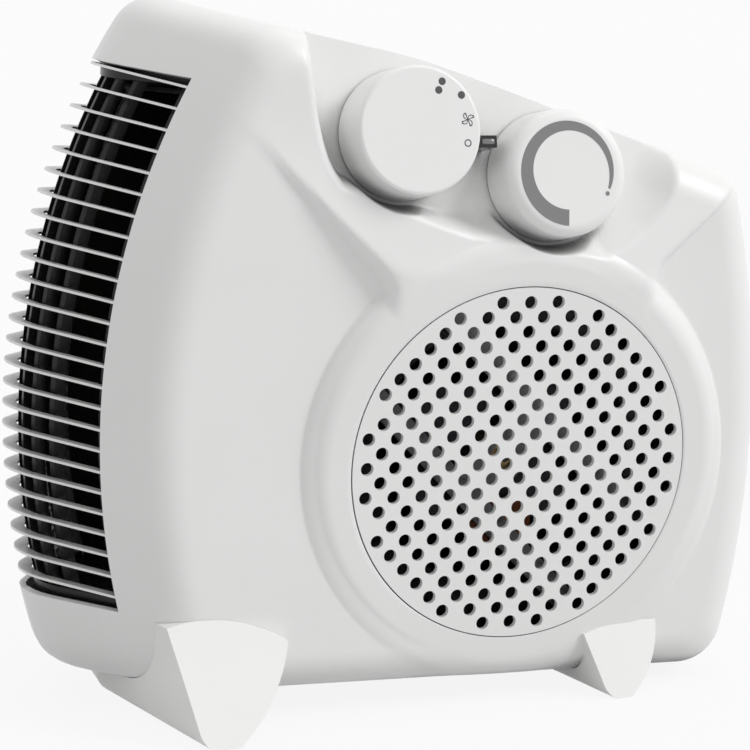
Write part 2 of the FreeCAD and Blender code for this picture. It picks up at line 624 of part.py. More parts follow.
def make_foot(name, key, outer):
    """Boat-shaped foot that runs right across under the casing and ends in two sloping faces."""
    reach, slope = s(key + "_reach"), tan_of(key + "_slope")
    sign = -1 if key == "big" else 1
    x = sign * s(key + "_x")
    tops = [-s(key + "_top_outer"), -s(key + "_top_mid"), -s(key + "_top_inner")]
    spread = s(key + "_spread")

    def section(y, grow):
        xs = [x - s(key + "_left") - grow, x + s(key + "_right") + grow,
              x - s(key + "_sole_left") - grow * 0.9, x + s(key + "_sole_right") + grow * 0.9]
        return foot_section(y, xs, tops, ground_z)

    shape = Part.makeLoft([section(-reach, 0), section(0, spread)], True, True)
    shape = shape.fuse(Part.makeLoft([section(0, spread), section(reach, 0)], True, True))
    low = ground_z(x)
    for way in (-1, 1):
        pts = [V3(x - 80, way * (reach + slope * 4), low - 4), V3(x - 80, way * (reach - slope * 80), low + 80),
               V3(x - 80, way * (reach + 80), low + 80), V3(x - 80, way * (reach + 80), low - 4)]
        wedge = Part.Face(Part.makePolygon(pts + pts[:1])).extrude(V3(160, 0, 0))
        shape = shape.cut(wedge)
    shape = shape.removeSplitter().cut([outer, under_floor()])
    shape = sorted(shape.Solids, key=lambda item: item.Volume)[-1]
    shape = shape.cut(foot_screw_tools(s("foot_pilot") + 0.4, low - 20, -s("bottom_drop") + 10))
    sink = -s("bottom_drop") - s("foot_floor")
    shape = shape.cut(foot_screw_tools(s("foot_head") + 0.4, sink - 60, sink))
    return feature(name, shape)


def casing_block():
    """Outer casing volume, a hair larger, used to seat the feet on it."""
    front = half_form(-s("foot_seat"))
    rear = front.mirror(V3(0, 0, 0), V3(0, 1, 0))
    return front.fuse([rear, platform()])


def make_foot_screws():
    screws = []
    for x, y in foot_screw_spots():
        low = -s("bottom_drop") - s("foot_floor")
        head = Part.makeCylinder(s("foot_head"), s("foot_head_high"), V3(x, y, low - 0.1 - s("foot_head_high")))
        shank = Part.makeCylinder(s("foot_pilot") - 0.05, 8.5, V3(x, y, low - 0.2))
        screws.append(head.fuse(shank).removeSplitter())
    return feature("foot_screws", Part.makeCompound(screws))


def make_case_screws():
    screws = []
    for _, x, z in BOSSES:
        y = s("sink_floor") + 0.1
        head = Part.makeCylinder(s("head_radius"), s("head_high"), V3(x, y, z), V3(0, 1, 0))
        shank = Part.makeCylinder(s("screw_radius"), y + s("screw_reach") + 0.2,
                                  V3(x, -s("screw_reach"), z), V3(0, 1, 0))
        screws.append(head.fuse(shank).removeSplitter())
    return feature("case_screws", Part.makeCompound(screws))


# Knobs and what they turn

def make_knob(name, x, up, edge):
    """Cup-shaped knob with a central boss for its shaft."""
    body = new_body(name, floor_place(x, up))
    sk = sketch_on(body, name + "_profile", "XZ_Plane")
    gap, top = s("floor_gap"), s("knob_height")
    under = top - s("knob_cap")
    inner = s("knob_radius") - s("knob_wall")
    e_under = "Sizes.knob_height - Sizes.knob_cap"
    e_inner = "Sizes.knob_radius - Sizes.knob_wall"
    profile(sk, [
        (s("shaft_bore"), "Sizes.shaft_bore", gap, "Sizes.floor_gap"),
        (s("knob_boss"), "Sizes.knob_boss", gap, "Sizes.floor_gap"),
        (s("knob_boss"), "Sizes.knob_boss", under, e_under),
        (inner, e_inner, under, e_under),
        (inner, e_inner, gap, "Sizes.floor_gap"),
        (s("knob_radius"), "Sizes.knob_radius", gap, "Sizes.floor_gap"),
        (s("knob_top_radius"), "Sizes.knob_top_radius", top, "Sizes.knob_height"),
        (0.0, None, top, "Sizes.knob_height"),
        (0.0, None, s("bore_top"), "Sizes.bore_top"),
        (s("shaft_bore"), "Sizes.shaft_bore", s("bore_top"), "Sizes.bore_top")])
    cup = turned(body, sk, name + "_turned")
    doc.recompute()
    rim = []
    for k, e in enumerate(cup.Shape.Edges, start=1):
        at = e.Vertexes[0].Point
        round_edge = abs(at.z - top) < 1e-4 and math.hypot(at.x, at.y) > s("knob_boss")
        if round_edge and e.Curve.TypeId == "Part::GeomCircle":
            rim.append("Edge%d" % k)
    soft = body.newObject("PartDesign::Fillet", name + "_rim")
    soft.Base = (cup, rim)
    soft.setExpression("Radius", "Sizes." + edge)
    body.Tip = soft
    return body


def make_shaft(name, x, up):
    """Plain turned spindle from inside the switch to the knob boss."""
    body = new_body(name, floor_place(x, up))
    sk = sketch_on(body, name + "_round", "XY_Plane", "-Sizes.shaft_tail")
    circle(sk, "shaft_radius")
    pad(body, sk, name + "_pad", "Sizes.shaft_tail + Sizes.bore_top - 0.2")
    return body


def make_mode_switch():
    """Round rotary switch behind the recess floor, with three tab contacts."""
    body = new_body("mode_switch", floor_place(-s("mode_x"), s("mode_up")))
    sk = sketch_on(body, "switch_round", "XY_Plane", "-Sizes.wall - 0.15 - Sizes.switch_depth")
    circle(sk, "switch_radius")
    pad(body, sk, "switch_pad", "Sizes.switch_depth")
    hole = sketch_on(body, "switch_bore", "XY_Plane", "-Sizes.wall")
    circle(hole, "shaft_bore")
    pocket(body, hole, "switch_bore_cut", "Sizes.shaft_tail")
    return body


def make_thermostat():
    """Boxed bimetal thermostat behind the recess floor."""
    body = new_body("thermostat", floor_place(s("thermo_x"), s("thermo_up")))
    sk = sketch_on(body, "thermostat_box", "XY_Plane", "-Sizes.wall - 0.15 - Sizes.thermo_deep")
    rectangle(sk, "thermo_long", "thermo_wide")
    pad(body, sk, "thermostat_pad", "Sizes.thermo_deep")
    hole = sketch_on(body, "thermostat_bore", "XY_Plane", "-Sizes.wall")
    circle(hole, "shaft_bore")
    pocket(body, hole, "thermostat_bore_cut", "Sizes.thermo_deep - 0.5")
    return body


def make_indicator_lens():
    """Light bar that passes through a slot between the knobs."""
    body = new_body("indicator_lens", floor_place(-s("lens_x"), s("lens_up")))
    sk = sketch_on(body, "lens_box", "XY_Plane", "-Sizes.lens_tail")
    rectangle(sk, "lens_long", "lens_wide")
    pad(body, sk, "lens_pad", "Sizes.lens_tail + Sizes.lens_height")
    return body


def make_indicator_lamp():
    body = new_body("indicator_lamp", floor_place(-s("lens_x"), s("lens_up")))
    sk = sketch_on(body, "lamp_round", "XY_Plane", "-Sizes.lens_tail - 0.2 - Sizes.lamp_long")
    circle(sk, "lamp_radius")
    pad(body, sk, "lamp_pad", "Sizes.lamp_long")
    return body


# Fan and motor

FAN = FreeCAD.Placement(V3(0, 0, 0), FreeCAD.Rotation(V3(1, 0, 0), 90))


def along_y(radius, y0, y1, x=0.0, z=0.0):
    return Part.makeCylinder(radius, y1 - y0, V3(x, y0, z), V3(0, 1, 0))


def scroll_wire(y, grow):
    """Spiral fan housing in front view, open side at the left."""
    left = -s("scroll_left")
    r = s("wheel_radius")
    a = V3(left, y, -s("scroll_low") - grow)
    b = V3(-22, y, -(r + s("scroll_under") + grow))
    c = V3(r + s("scroll_tail") + grow, y, 6)
    d = V3(-6, y, r + s("scroll_over") + grow)
    e = V3(left, y, r + s("scroll_high") + grow)
    arc1 = Part.Arc(b, V3(0.72 * (r + 6 + grow), y, -0.74 * (r + 6 + grow)), c).toShape()
    arc2 = Part.Arc(c, V3(0.68 * (r + 15 + grow), y, 0.78 * (r + 17 + grow)), d).toShape()
    return Part.Wire([Part.makeLine(a, b), arc1, arc2, Part.makeLine(d, e), Part.makeLine(e, a)])


def make_scroll_housing():
    """Black spiral housing: two cheeks and a wall, inlet in the front cheek, open to the duct."""
    wall, front, rear = s("scroll_wall"), -s("scroll_front"), s("scroll_rear")
    shape = Part.Face(scroll_wire(front, wall)).extrude(V3(0, rear - front, 0))
    hollow = Part.Face(scroll_wire(front + wall, 0)).extrude(V3(0, rear - front - 2 * wall, 0))
    shape = shape.cut(hollow)
    high = s("wheel_radius") + s("scroll_high") + s("scroll_low")
    left_open = Part.makeBox(10, rear - front - 2 * wall, high,
                             V3(-s("scroll_left") - 5, front + wall, -s("scroll_low")))
    shape = shape.cut(left_open)
    shape = shape.cut(along_y(s("inlet_radius"), front - 2, front + wall + 2))
    ears = [along_y(s("scroll_ear"), rear - wall, rear, x, z) for x, z in SCROLL_FIX]
    return feature("scroll_housing", shape.fuse(ears).removeSplitter())


def make_impeller():
    """Squirrel-cage wheel: hub, back plate, curved blades and a front ring."""
    front, rear = -s("wheel_front"), s("wheel_rear")
    plate = s("plate_thick")
    pieces = [along_y(s("wheel_radius"), rear - plate, rear)]
    ring = along_y(s("wheel_radius"), front, front + plate).cut(along_y(s("wheel_inner"), front - 1, front + 4))
    pieces.append(ring)
    pieces.append(along_y(s("hub_radius"), rear - s("hub_long"), rear - plate / 2))
    count = int(s("blade_count"))
    r0, r1 = s("wheel_inner") + 0.3, s("wheel_radius") - 0.3
    half = s("blade_thick") / 2
    a = V3(-half, 0, r0)
    b = V3(-half - 2.4, 0, (r0 + r1) / 2)
    c = V3(-half - 2.0, 0, r1)
    shift = V3(2 * half, 0, 0)
    wire = Part.Wire([Part.Arc(a, b, c).toShape(), Part.makeLine(c, c + shift),
                      Part.Arc(c + shift, b + shift, a + shift).toShape(), Part.makeLine(a + shift, a)])
    blade = Part.Face(wire).extrude(V3(0, rear - front - plate, 0))
    blade.translate(V3(0, front + plate / 2, 0))
    for k in range(count):
        turned_blade = blade.copy()
        turned_blade.rotate(V3(0, 0, 0), V3(0, 1, 0), 360.0 * k / count)
        pieces.append(turned_blade)
    shape = pieces[0].fuse(pieces[1:])
    shape = shape.cut(along_y(s("motor_shaft_radius") + s("bearing_clear"), rear - s("hub_long") - 1, rear + 1))
    return feature("impeller", shape)


def make_motor_core():
    """Laminated motor core with the rotor bore."""
    body = new_body("motor_core", FAN)
    sk = sketch_on(body, "core_plate", "XY_Plane", "Sizes.core_front - Sizes.core_thick")
    rectangle(sk, "core_wide", "core_high")
    pad(body, sk, "core_pad", "Sizes.core_thick")
    hole = sketch_on(body, "core_bore", "XY_Plane", "Sizes.core_front")
    circle(hole, "rotor_bore")
    pocket(body, hole, "core_bore_cut", "Sizes.core_thick")
    return body


def make_motor_coil():
    """Wound coil block on the lower limb of the core."""
    base = -s("core_high") / 2
    y0 = -s("core_front") - s("coil_over")
    y1 = -s("core_front") + s("core_thick") + s("coil_over")
    wide = s("coil_wide")
    block = Part.makeBox(wide, y1 - y0, s("coil_high"), V3(-wide / 2, y0, base - s("coil_drop")))
    core = Part.makeBox(s("core_wide"), s("core_thick") + 0.3, s("core_high"),
                        V3(-s("core_wide") / 2, -s("core_front") - 0.15, base))
    return feature("motor_coil", block.cut(core).removeSplitter())


def make_motor_rotor():
    """Rotor and its shaft, carrying the impeller."""
    mid = -s("core_front")
    rotor = along_y(s("rotor_radius"), mid, mid + s("core_thick"))
    shaft = along_y(s("motor_shaft_radius"), mid - 9, s("wheel_rear") + 3)
    return feature("motor_rotor", rotor.fuse(shaft).removeSplitter())


def make_motor_bearings():
    r = s("motor_shaft_radius") + s("bearing_clear")
    front = -s("core_front") - 1.2
    rear = -s("core_front") + s("core_thick") + 1.2
    pieces = [along_y(s("bearing_radius"), front - s("bearing_long"), front).cut(along_y(r, front - 20, front + 5)),
              along_y(s("bearing_radius"), rear, rear + s("bearing_long")).cut(along_y(r, rear - 5, rear + 20))]
    return feature("motor_bearings", Part.makeCompound(pieces))


def make_motor_bracket():
    """Pair of diagonal steel rails across the inlet with a bridge that carries the front bearing."""
    y1 = -s("scroll_front") - 0.15
    y0 = y1 - s("rail_thick")
    half, wide, off = s("rail_half"), s("rail_wide"), s("rail_offset")
    pieces = []
    for sign in (-1, 1):
        pieces.append(Part.makeBox(2 * half, y1 - y0, wide, V3(-half, y0, sign * off - wide / 2)))
    bridge = s("bridge_wide")
    pieces.append(Part.makeBox(bridge, y1 - y0, 2 * off, V3(-bridge / 2, y0, -off)))
    shape = pieces[0].fuse(pieces[1:]).removeSplitter()
    shape = shape.cut(along_y(s("bridge_bore"), y0 - 2, y1 + 2))
    spots = [(0, off), (0, -off)]
    posts = [along_y(s("post_radius"), y1 - 0.5, -s("core_front") - 0.15, x, z) for x, z in spots]
    shape = shape.fuse(posts).removeSplitter()
    shape.rotate(V3(0, 0, 0), V3(0, 1, 0), 45)
    return feature("motor_bracket", shape)


def make_motor_screws():
    """Screws that hold the bracket rails on the scroll inlet."""
    y = -s("scroll_front") - 0.15 - s("rail_thick") - 0.1
    screws = []
    for sx in (-1, 1):
        for sz in (-1, 1):
            x = sx * (s("rail_half") - s("tack_inset"))
            head = along_y(s("tack_radius"), y - s("tack_high"), y, x, sz * s("rail_offset"))
            head.rotate(V3(0, 0, 0), V3(0, 1, 0), 45)
            screws.append(head)
    return feature("motor_screws", Part.makeCompound(screws))


# Heater

def make_heater_duct():
    """Black box from the fan housing to the guard, its mouth following the outlet nose."""
    wall, half = s("duct_wall"), s("duct_half")
    low, high = -s("duct_bottom"), s("duct_top")
    right = -s("scroll_left") - s("seat_gap")
    both = both_halves(s("guard_inset") + s("guard_depth") + s("guard_back") + s("duct_margin"))
    block = Part.makeBox(200, 2 * half, high - low, V3(right - 200, -half, low)).common(both)
    hollow = Part.makeBox(200, 2 * (half - wall), high - low - 2 * wall,
                          V3(right - wall - 200, -half + wall, low + wall))
    y0, y1 = -half + wall + 1, s("scroll_rear") - s("scroll_wall")
    mouth_low = -s("scroll_low") + s("mouth_inset")
    mouth_high = s("wheel_radius") + s("scroll_high")
    mouth = Part.makeBox(20, y1 - y0, mouth_high - mouth_low, V3(right - 10, y0, mouth_low))
    return feature("heater_duct", block.cut(hollow).cut(mouth))


def board_rows():
    count = int(s("board_count"))
    return [-s("board_shift") + s("board_step") * (k - (count - 1) / 2.0) for k in range(count)]


def make_heater_frame():
    """Insulating boards on edge, tied by two cross boards."""
    x0, x1 = -s("board_left"), -s("board_right")
    low, high = -s("duct_bottom") + s("duct_wall") + s("seat_gap"), s("board_top")
    thick = s("board_thick")
    pieces = [Part.makeBox(x1 - x0, thick, high - low, V3(x0, y - thick / 2, low)) for y in board_rows()]
    rows = board_rows()
    for z in (low + s("tie_inset"), high - s("tie_inset")):
        pieces.append(Part.makeBox(x1 - x0 - 4, rows[-1] - rows[0], thick, V3(x0 + 2, rows[0], z)))
    return feature("heater_frame", pieces[0].fuse(pieces[1:]).removeSplitter())


def make_heating_ribbons():
    """Corrugated ribbons stretched between the boards."""
    rows = board_rows()
    low, high = -s("duct_bottom") + s("duct_wall") + s("ribbon_low"), s("board_top") - s("ribbon_high")
    thick, wide = s("ribbon_thick"), s("ribbon_wide")
    ribbons = []
    mid = -(s("board_left") + s("board_right")) / 2
    for y0, y1 in zip(rows, rows[1:]):
        a, b = y0 + 1.2, y1 - 1.2 - 2 * thick
        count = int((high - low) / s("ribbon_pitch"))
        line = [(a if k % 2 else b, low + k * s("ribbon_pitch")) for k in range(count)]
        over = [V3(mid - wide / 2, y, z) for y, z in line]
        back = [V3(mid - wide / 2, y + 2 * thick, z) for y, z in reversed(line)]
        ribbons.append(Part.Face(Part.makePolygon(over + back + over[:1])).extrude(V3(wide, 0, 0)))
    return feature("heating_ribbons", Part.makeCompound(ribbons))


def make_thermal_cutout():
    """Disc cut-out standing on the top cross board."""
    x = -(s("board_left") + s("board_right")) / 2
    z = s("board_top") - s("tie_inset") + s("board_thick") + 0.1
    cap = Part.makeCylinder(s("cutout_radius"), s("cutout_high"), V3(x, -s("board_shift"), z))
    return feature("thermal_cutout", cap)


def make_thermal_fuse():
    x = -(s("board_left") + s("board_right")) / 2
    z = s("board_top") - s("tie_inset") - 0.1 - s("fuse_radius")
    y = -s("board_shift") - s("fuse_long") / 2
    fuse = along_y(s("fuse_radius"), y, y + s("fuse_long"), x, z)
    return feature("thermal_fuse", fuse)


# Supply

def make_cord_gland():
    """Flanged inlet bush in the rear panel."""
    y = s("half_depth")
    wall = s("wall")
    x, z = s("gland_x"), -s("gland_z")
    bush = along_y(s("gland_radius"), y - wall - s("gland_in"), y + 0.2, x, z)
    outer = along_y(s("gland_flange"), y + 0.1, y + 0.1 + s("gland_flange_thick"), x, z)
    neck = along_y(s("gland_bore") + s("gland_neck"), y, y + 0.1 + s("gland_flange_thick") + s("gland_out"), x, z)
    shape = bush.fuse([outer, neck]).removeSplitter().cut(along_y(s("gland_bore"), y - 20, y + 20, x, z))
    return feature("cord_gland", shape)


def make_terminal_block():
    """Three-way terminal block standing on the rear panel."""
    y = s("half_depth") - s("wall") - 0.1
    front = y - s("block_high")
    mid, low = s("gland_x") - s("block_back"), -s("gland_z") - s("block_drop")
    block = Part.makeBox(s("block_long"), s("block_high"), s("block_wide"),
                         V3(mid - s("block_long") / 2, front, low))
    for k in (-1, 0, 1):
        x = mid + k * s("block_pitch")
        block = block.cut(along_y(s("way_radius"), front - 1, front + s("way_deep"), x,
                                  low + s("block_wide") / 2))
    return feature("terminal_block", block)


make_front_shell()
make_rear_shell()
make_intake_grille()
make_outlet_grille()
make_outlet_guard()
CASING = casing_block()
make_foot("outlet_foot", "big", CASING)
make_foot("tail_foot", "small", CASING)
make_foot_screws()
make_case_screws()
make_knob("mode_knob", -s("mode_x"), s("mode_up"), "mode_edge")
make_knob("thermostat_knob", s("thermo_x"), s("thermo_up"), "thermo_edge")
make_shaft("mode_shaft", -s("mode_x"), s("mode_up"))
make_shaft("thermostat_shaft", s("thermo_x"), s("thermo_up"))
make_mode_switch()
make_thermostat()
make_indicator_lens()
make_indicator_lamp()
make_scroll_housing()
make_impeller()
make_motor_core()
make_motor_coil()
make_motor_rotor()
make_motor_bearings()
make_motor_bracket()
make_motor_screws()
make_heater_duct()
make_heater_frame()
make_heating_ribbons()
make_thermal_cutout()
make_thermal_fuse()
make_cord_gland()
make_terminal_block()
doc.recompute()

NODES = [o for o in doc.Objects if o.TypeId in ("Part::Feature", "PartDesign::Body")]
for obj in doc.Objects:
    if "Invalid" in obj.State or "Error" in obj.State:
        raise RuntimeError("bad state: " + obj.Label)
for obj in NODES:
    if obj.Shape.isNull() or not obj.Shape.isValid() or not obj.Shape.Solids:
        raise RuntimeError("bad shape: " + obj.Label)


def centre_on_floor():
    """Move everything so that the origin lies under the middle of the overall box."""
    box = FreeCAD.BoundBox()
    for obj in NODES:
        box.add(obj.Shape.optimalBoundingBox(False, False))
    shift = FreeCAD.Placement(V3(-box.Center.x, -box.Center.y, 0), FreeCAD.Rotation())
    for obj in NODES:
        obj.Placement = shift.multiply(obj.Placement)
    doc.recompute()


centre_on_floor()
os.makedirs("parts", exist_ok=True)
for obj in NODES:
    obj.Shape.exportStep("parts/" + obj.Label + ".step")
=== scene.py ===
"""White fan heater: front skin, printed marks, finishes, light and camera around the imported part."""
import json
import math

import bpy
import numpy as np
from mathutils import Matrix, Vector


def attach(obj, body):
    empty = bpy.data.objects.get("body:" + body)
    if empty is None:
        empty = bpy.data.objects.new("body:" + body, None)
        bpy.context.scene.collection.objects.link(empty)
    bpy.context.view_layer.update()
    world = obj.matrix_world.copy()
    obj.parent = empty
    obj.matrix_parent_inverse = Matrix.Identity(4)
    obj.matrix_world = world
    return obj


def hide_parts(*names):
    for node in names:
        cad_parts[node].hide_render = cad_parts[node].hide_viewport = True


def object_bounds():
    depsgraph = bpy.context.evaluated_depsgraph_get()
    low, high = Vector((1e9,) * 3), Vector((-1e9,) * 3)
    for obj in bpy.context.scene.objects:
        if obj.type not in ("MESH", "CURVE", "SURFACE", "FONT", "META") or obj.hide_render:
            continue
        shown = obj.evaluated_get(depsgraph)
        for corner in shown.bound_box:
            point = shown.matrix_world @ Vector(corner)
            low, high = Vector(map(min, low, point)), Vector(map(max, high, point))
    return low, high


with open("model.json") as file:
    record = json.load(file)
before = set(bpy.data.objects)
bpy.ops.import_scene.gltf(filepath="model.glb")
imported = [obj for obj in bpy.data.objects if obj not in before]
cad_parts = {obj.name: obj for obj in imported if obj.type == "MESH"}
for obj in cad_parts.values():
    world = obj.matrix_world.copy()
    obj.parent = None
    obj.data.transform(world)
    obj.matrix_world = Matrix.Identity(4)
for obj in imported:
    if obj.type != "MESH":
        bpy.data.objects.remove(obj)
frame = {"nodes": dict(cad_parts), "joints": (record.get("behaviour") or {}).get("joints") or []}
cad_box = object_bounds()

MM = 0.001
TURN = 2 * math.pi

# The casing leans about Y; its own axes start at the fan axis
CASING_LEAN = math.radians(2.28)

# Printed marks on the knob faces: millimetres in the plane of the face, places as radius and degrees
PRINT_RISE = 0.06
PRINT_SINK = 0.05
INK_LINE = 0.36
DOT_RADIUS = 1.25
DOT_SIDES = 40
DOT_PLACES = ((17.6, 63.0), (14.5, 62.5), (18.4, 37.8))
OFF_PLACE = (16.75, -14.8)
OFF_RADIUS = 1.05
OFF_SIDES = 48
FAN_PLACE = (16.8, 11.4)
FAN_BLADES = (30, 120, 210, 300)
BLADE_LONG = 2.1
BLADE_WIDE = 0.62
BLADE_START = 0.15
BLADE_ROOT = 0.55
BLADE_LEAN = 0.16
BLADE_SIDES = 36
WEDGE_RADIUS = 15.1
WEDGE_FROM = -22.0
WEDGE_TO = 267.0
WEDGE_THIN = 0.75
WEDGE_THICK = 5.3
WEDGE_SWELL = 0.65
WEDGE_STEPS = 145
LOW_DOT_PLACE = (15.2, -28.5)
LOW_DOT_RADIUS = 0.75

# Window in the light bar, millimetres; each step is a share of the outline and a height over the bar
WINDOW_LONG = 4.3
WINDOW_WIDE = 1.7
WINDOW_SQUARE = 0.35
WINDOW_SIDES = 64
WINDOW_STEPS = ((1.0, -0.05), (1.0, 0.04), (0.93, 0.1))
FLAT_WITHIN = 0.01

# Rounds on the feet's outer edges, millimetres and degrees
FOOT_ROUND = 0.9
FOOT_ROUND_STEPS = 3
FOOT_ROUND_OVER = 40.0

# Camera of the photograph, in the casing's own axes, metres; lens and sensor in millimetres
EYE = Vector((-0.4664, -1.1038, 0.2199))
LOOK = Vector((0.3643, 0.9163, -0.1663))
SIDE = Vector((0.9309, -0.3632, 0.0381))
FOCAL = 168.0
SENSOR = 36.0
CLIP_NEAR = 0.05

# Studio: strengths, and lamps as direction to the lamp, strength and spread in degrees
FLOOR_REACH = 6.0
FLOOR_TINT = (0.6, 0.6, 0.6, 1)
FLOOR_ROUGH = 0.8
FLOOR_GLOW = 1.01
FLOOR_GLOW_SHARE = 0.88
WORLD_SOFT = 0.6
WORLD_WHITE = 0.985
LAMPS = {"key": ((0.62, -0.42, 0.55), 1.4, 25), "overhead": ((0.1, 0.3, 0.95), 0.5, 50)}


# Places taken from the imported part

def joint(name):
    """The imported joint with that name."""
    return next(j for j in frame["joints"] if j["name"] == name)


def casing_to_world():
    """Turns the casing's own axes into the part's frame: its lean, then the place of the fan axis."""
    lean = Matrix.Rotation(CASING_LEAN, 4, "Y")
    return Matrix.Translation(Vector(joint("fan_spin")["pos_m"])) @ lean


def points_of(node):
    """All corner points of a CAD node as one array."""
    mesh = frame["nodes"][node].data
    flat = np.empty(len(mesh.vertices) * 3, np.float32)
    mesh.vertices.foreach_get("co", flat)
    return flat.reshape(-1, 3).astype(float)


def face_axes(joint_name):
    """Across, up and out directions of a knob's face: out is against the joint's axis, across is level."""
    out = -np.array(joint(joint_name)["axis"], float)
    across = np.cross((0, 1, 0), out)
    across /= np.linalg.norm(across)
    return across, np.cross(out, across), out


def knob_face(joint_name, node):
    """Centre and directions of a knob's face: the joint's place moved out to the knob's highest point."""
    across, up, out = face_axes(joint_name)
    base = np.array(joint(joint_name)["pos_m"], float)
    height = ((points_of(node) - base) @ out).max()
    return base + height * out, across, up, out


def on_face(face, x, y, z):
    """Points at millimetres x across, y up and z out of a face."""
    centre, across, up, out = face
    flat = np.stack([x, y, z], -1) * MM
    return centre + flat @ np.stack([across, up, out])


# Meshes

def add_piece(name, points, faces, body, material, slot=None, smooth=True):
    """A mesh piece at the origin that rides a body."""
    mesh = bpy.data.meshes.new(name)
    mesh.from_pydata(points.tolist(), [], faces)
    mesh.polygons.foreach_set("use_smooth", np.full(len(faces), smooth))
    mesh.validate()
    piece = bpy.data.objects.new(name, mesh)
    bpy.context.scene.collection.objects.link(piece)
    mesh.materials.append(material)
    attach(piece, body)
    return piece


def grid_faces(rows, columns, wrap_rows, wrap_columns):
    """Quads of a grid of points, with either direction closed on itself."""
    i = np.arange(rows if wrap_rows else rows - 1)
    j = np.arange(columns if wrap_columns else columns - 1)
    i, j = (a.ravel() for a in np.meshgrid(i, j, indexing="ij"))
    next_i = (i + 1) % rows
    next_j = (j + 1) % columns
    corners = [i * columns + j, next_i * columns + j, next_i * columns + next_j, i * columns + next_j]
    return np.stack(corners, 1).tolist()


def merged(parts):
    """Several point and face lists as one."""
    points, faces, start = [], [], 0
    for part_points, part_faces in parts:
        points.append(part_points)
        faces += [[k + start for k in face] for face in part_faces]
        start += len(part_points)
    return np.concatenate(points), faces


def round_turn(sides):
    """Angles and unit vectors at even steps round a full turn."""
    turn = np.linspace(0, TURN, sides, endpoint=False)
    return turn, np.stack([np.cos(turn), np.sin(turn)], 1)


# Printed marks

def polar(place):
    """Plan point of a mark from its radius and its angle in degrees."""
    radius, angle = place
    return np.array([radius * math.cos(math.radians(angle)), radius * math.sin(math.radians(angle))])


def ink_band(face, left, right, closed):
    """Flat ink line between two plan curves: a four-cornered section carried along them."""
    count = len(left)
    low = np.full(count, -PRINT_SINK)
    high = np.full(count, PRINT_RISE)
    corners = [on_face(face, *left.T, low), on_face(face, *right.T, low),
               on_face(face, *right.T, high), on_face(face, *left.T, high)]
    faces = grid_faces(count, 4, closed, True)
    if not closed:
        last = (count - 1) * 4
        faces += [[0, 1, 2, 3], [last + 3, last + 2, last + 1, last]]
    return np.stack(corners, 1).reshape(-1, 3), faces


def ink_spot(face, centre, radius):
    """Round ink spot: one rim over the face and one below it, each closed by a polygon."""
    rim = centre + radius * round_turn(DOT_SIDES)[1]
    low = on_face(face, *rim.T, np.full(DOT_SIDES, -PRINT_SINK))
    high = on_face(face, *rim.T, np.full(DOT_SIDES, PRINT_RISE))
    faces = [f[::-1] for f in grid_faces(2, DOT_SIDES, False, True)]
    faces += [list(range(DOT_SIDES))[::-1], list(range(DOT_SIDES, 2 * DOT_SIDES))]
    return np.concatenate([low, high]), faces


def ink_ring(face, centre, radius):
    """Thin ink circle: a band between two circles half a line inside and outside the radius."""
    unit = round_turn(OFF_SIDES)[1]
    inner = centre + (radius - INK_LINE / 2) * unit
    outer = centre + (radius + INK_LINE / 2) * unit
    return ink_band(face, inner, outer, True)


def blade(face, centre, angle):
    """Outlined fan blade: a leaf whose width is a sine along its length, leaning to one side."""
    t = round_turn(BLADE_SIDES)[0]
    c = math.cos(math.radians(angle))
    s = math.sin(math.radians(angle))

    def leaf(grow):
        along = (BLADE_LONG + 2 * grow) * (1 - np.cos(t)) / 2 - grow + BLADE_START
        share = along / BLADE_LONG
        wide = (BLADE_WIDE + grow) * np.sin(t) * (BLADE_ROOT + (1 - BLADE_ROOT) * share)
        wide += BLADE_LEAN * BLADE_LONG * np.sin(math.pi * np.clip(share, 0, 1))
        return centre + np.stack([c * along - s * wide, s * along + c * wide], 1)

    return ink_band(face, leaf(-INK_LINE / 2), leaf(INK_LINE / 2), True)


def mode_marks(face, ink):
    """Two spots, one spot, a fan and a ring: full heat, half heat, cool air and off."""
    parts = [ink_spot(face, polar(place), DOT_RADIUS) for place in DOT_PLACES]
    parts.append(ink_ring(face, polar(OFF_PLACE), OFF_RADIUS))
    parts += [blade(face, polar(FAN_PLACE), angle) for angle in FAN_BLADES]
    return add_piece("mode_marks", *merged(parts), "mode_dial", ink, smooth=False)


def thermostat_marks(face, ink):
    """Wedge round the face and a dot before its thin end.

    The wedge's width grows from thin to thick as a power of the share of its sweep.
    """
    share = np.linspace(0, 1, WEDGE_STEPS)
    angle = np.radians(WEDGE_FROM + (WEDGE_TO - WEDGE_FROM) * share)
    half = (WEDGE_THIN + (WEDGE_THICK - WEDGE_THIN) * share ** WEDGE_SWELL)[:, None] / 2
    unit = np.stack([np.cos(angle), np.sin(angle)], 1)
    wedge = ink_band(face, (WEDGE_RADIUS - half) * unit, (WEDGE_RADIUS + half) * unit, False)
    dot = ink_spot(face, polar(LOW_DOT_PLACE), LOW_DOT_RADIUS)
    return add_piece("thermostat_marks", *merged([wedge, dot]), "thermostat_dial", ink, smooth=False)


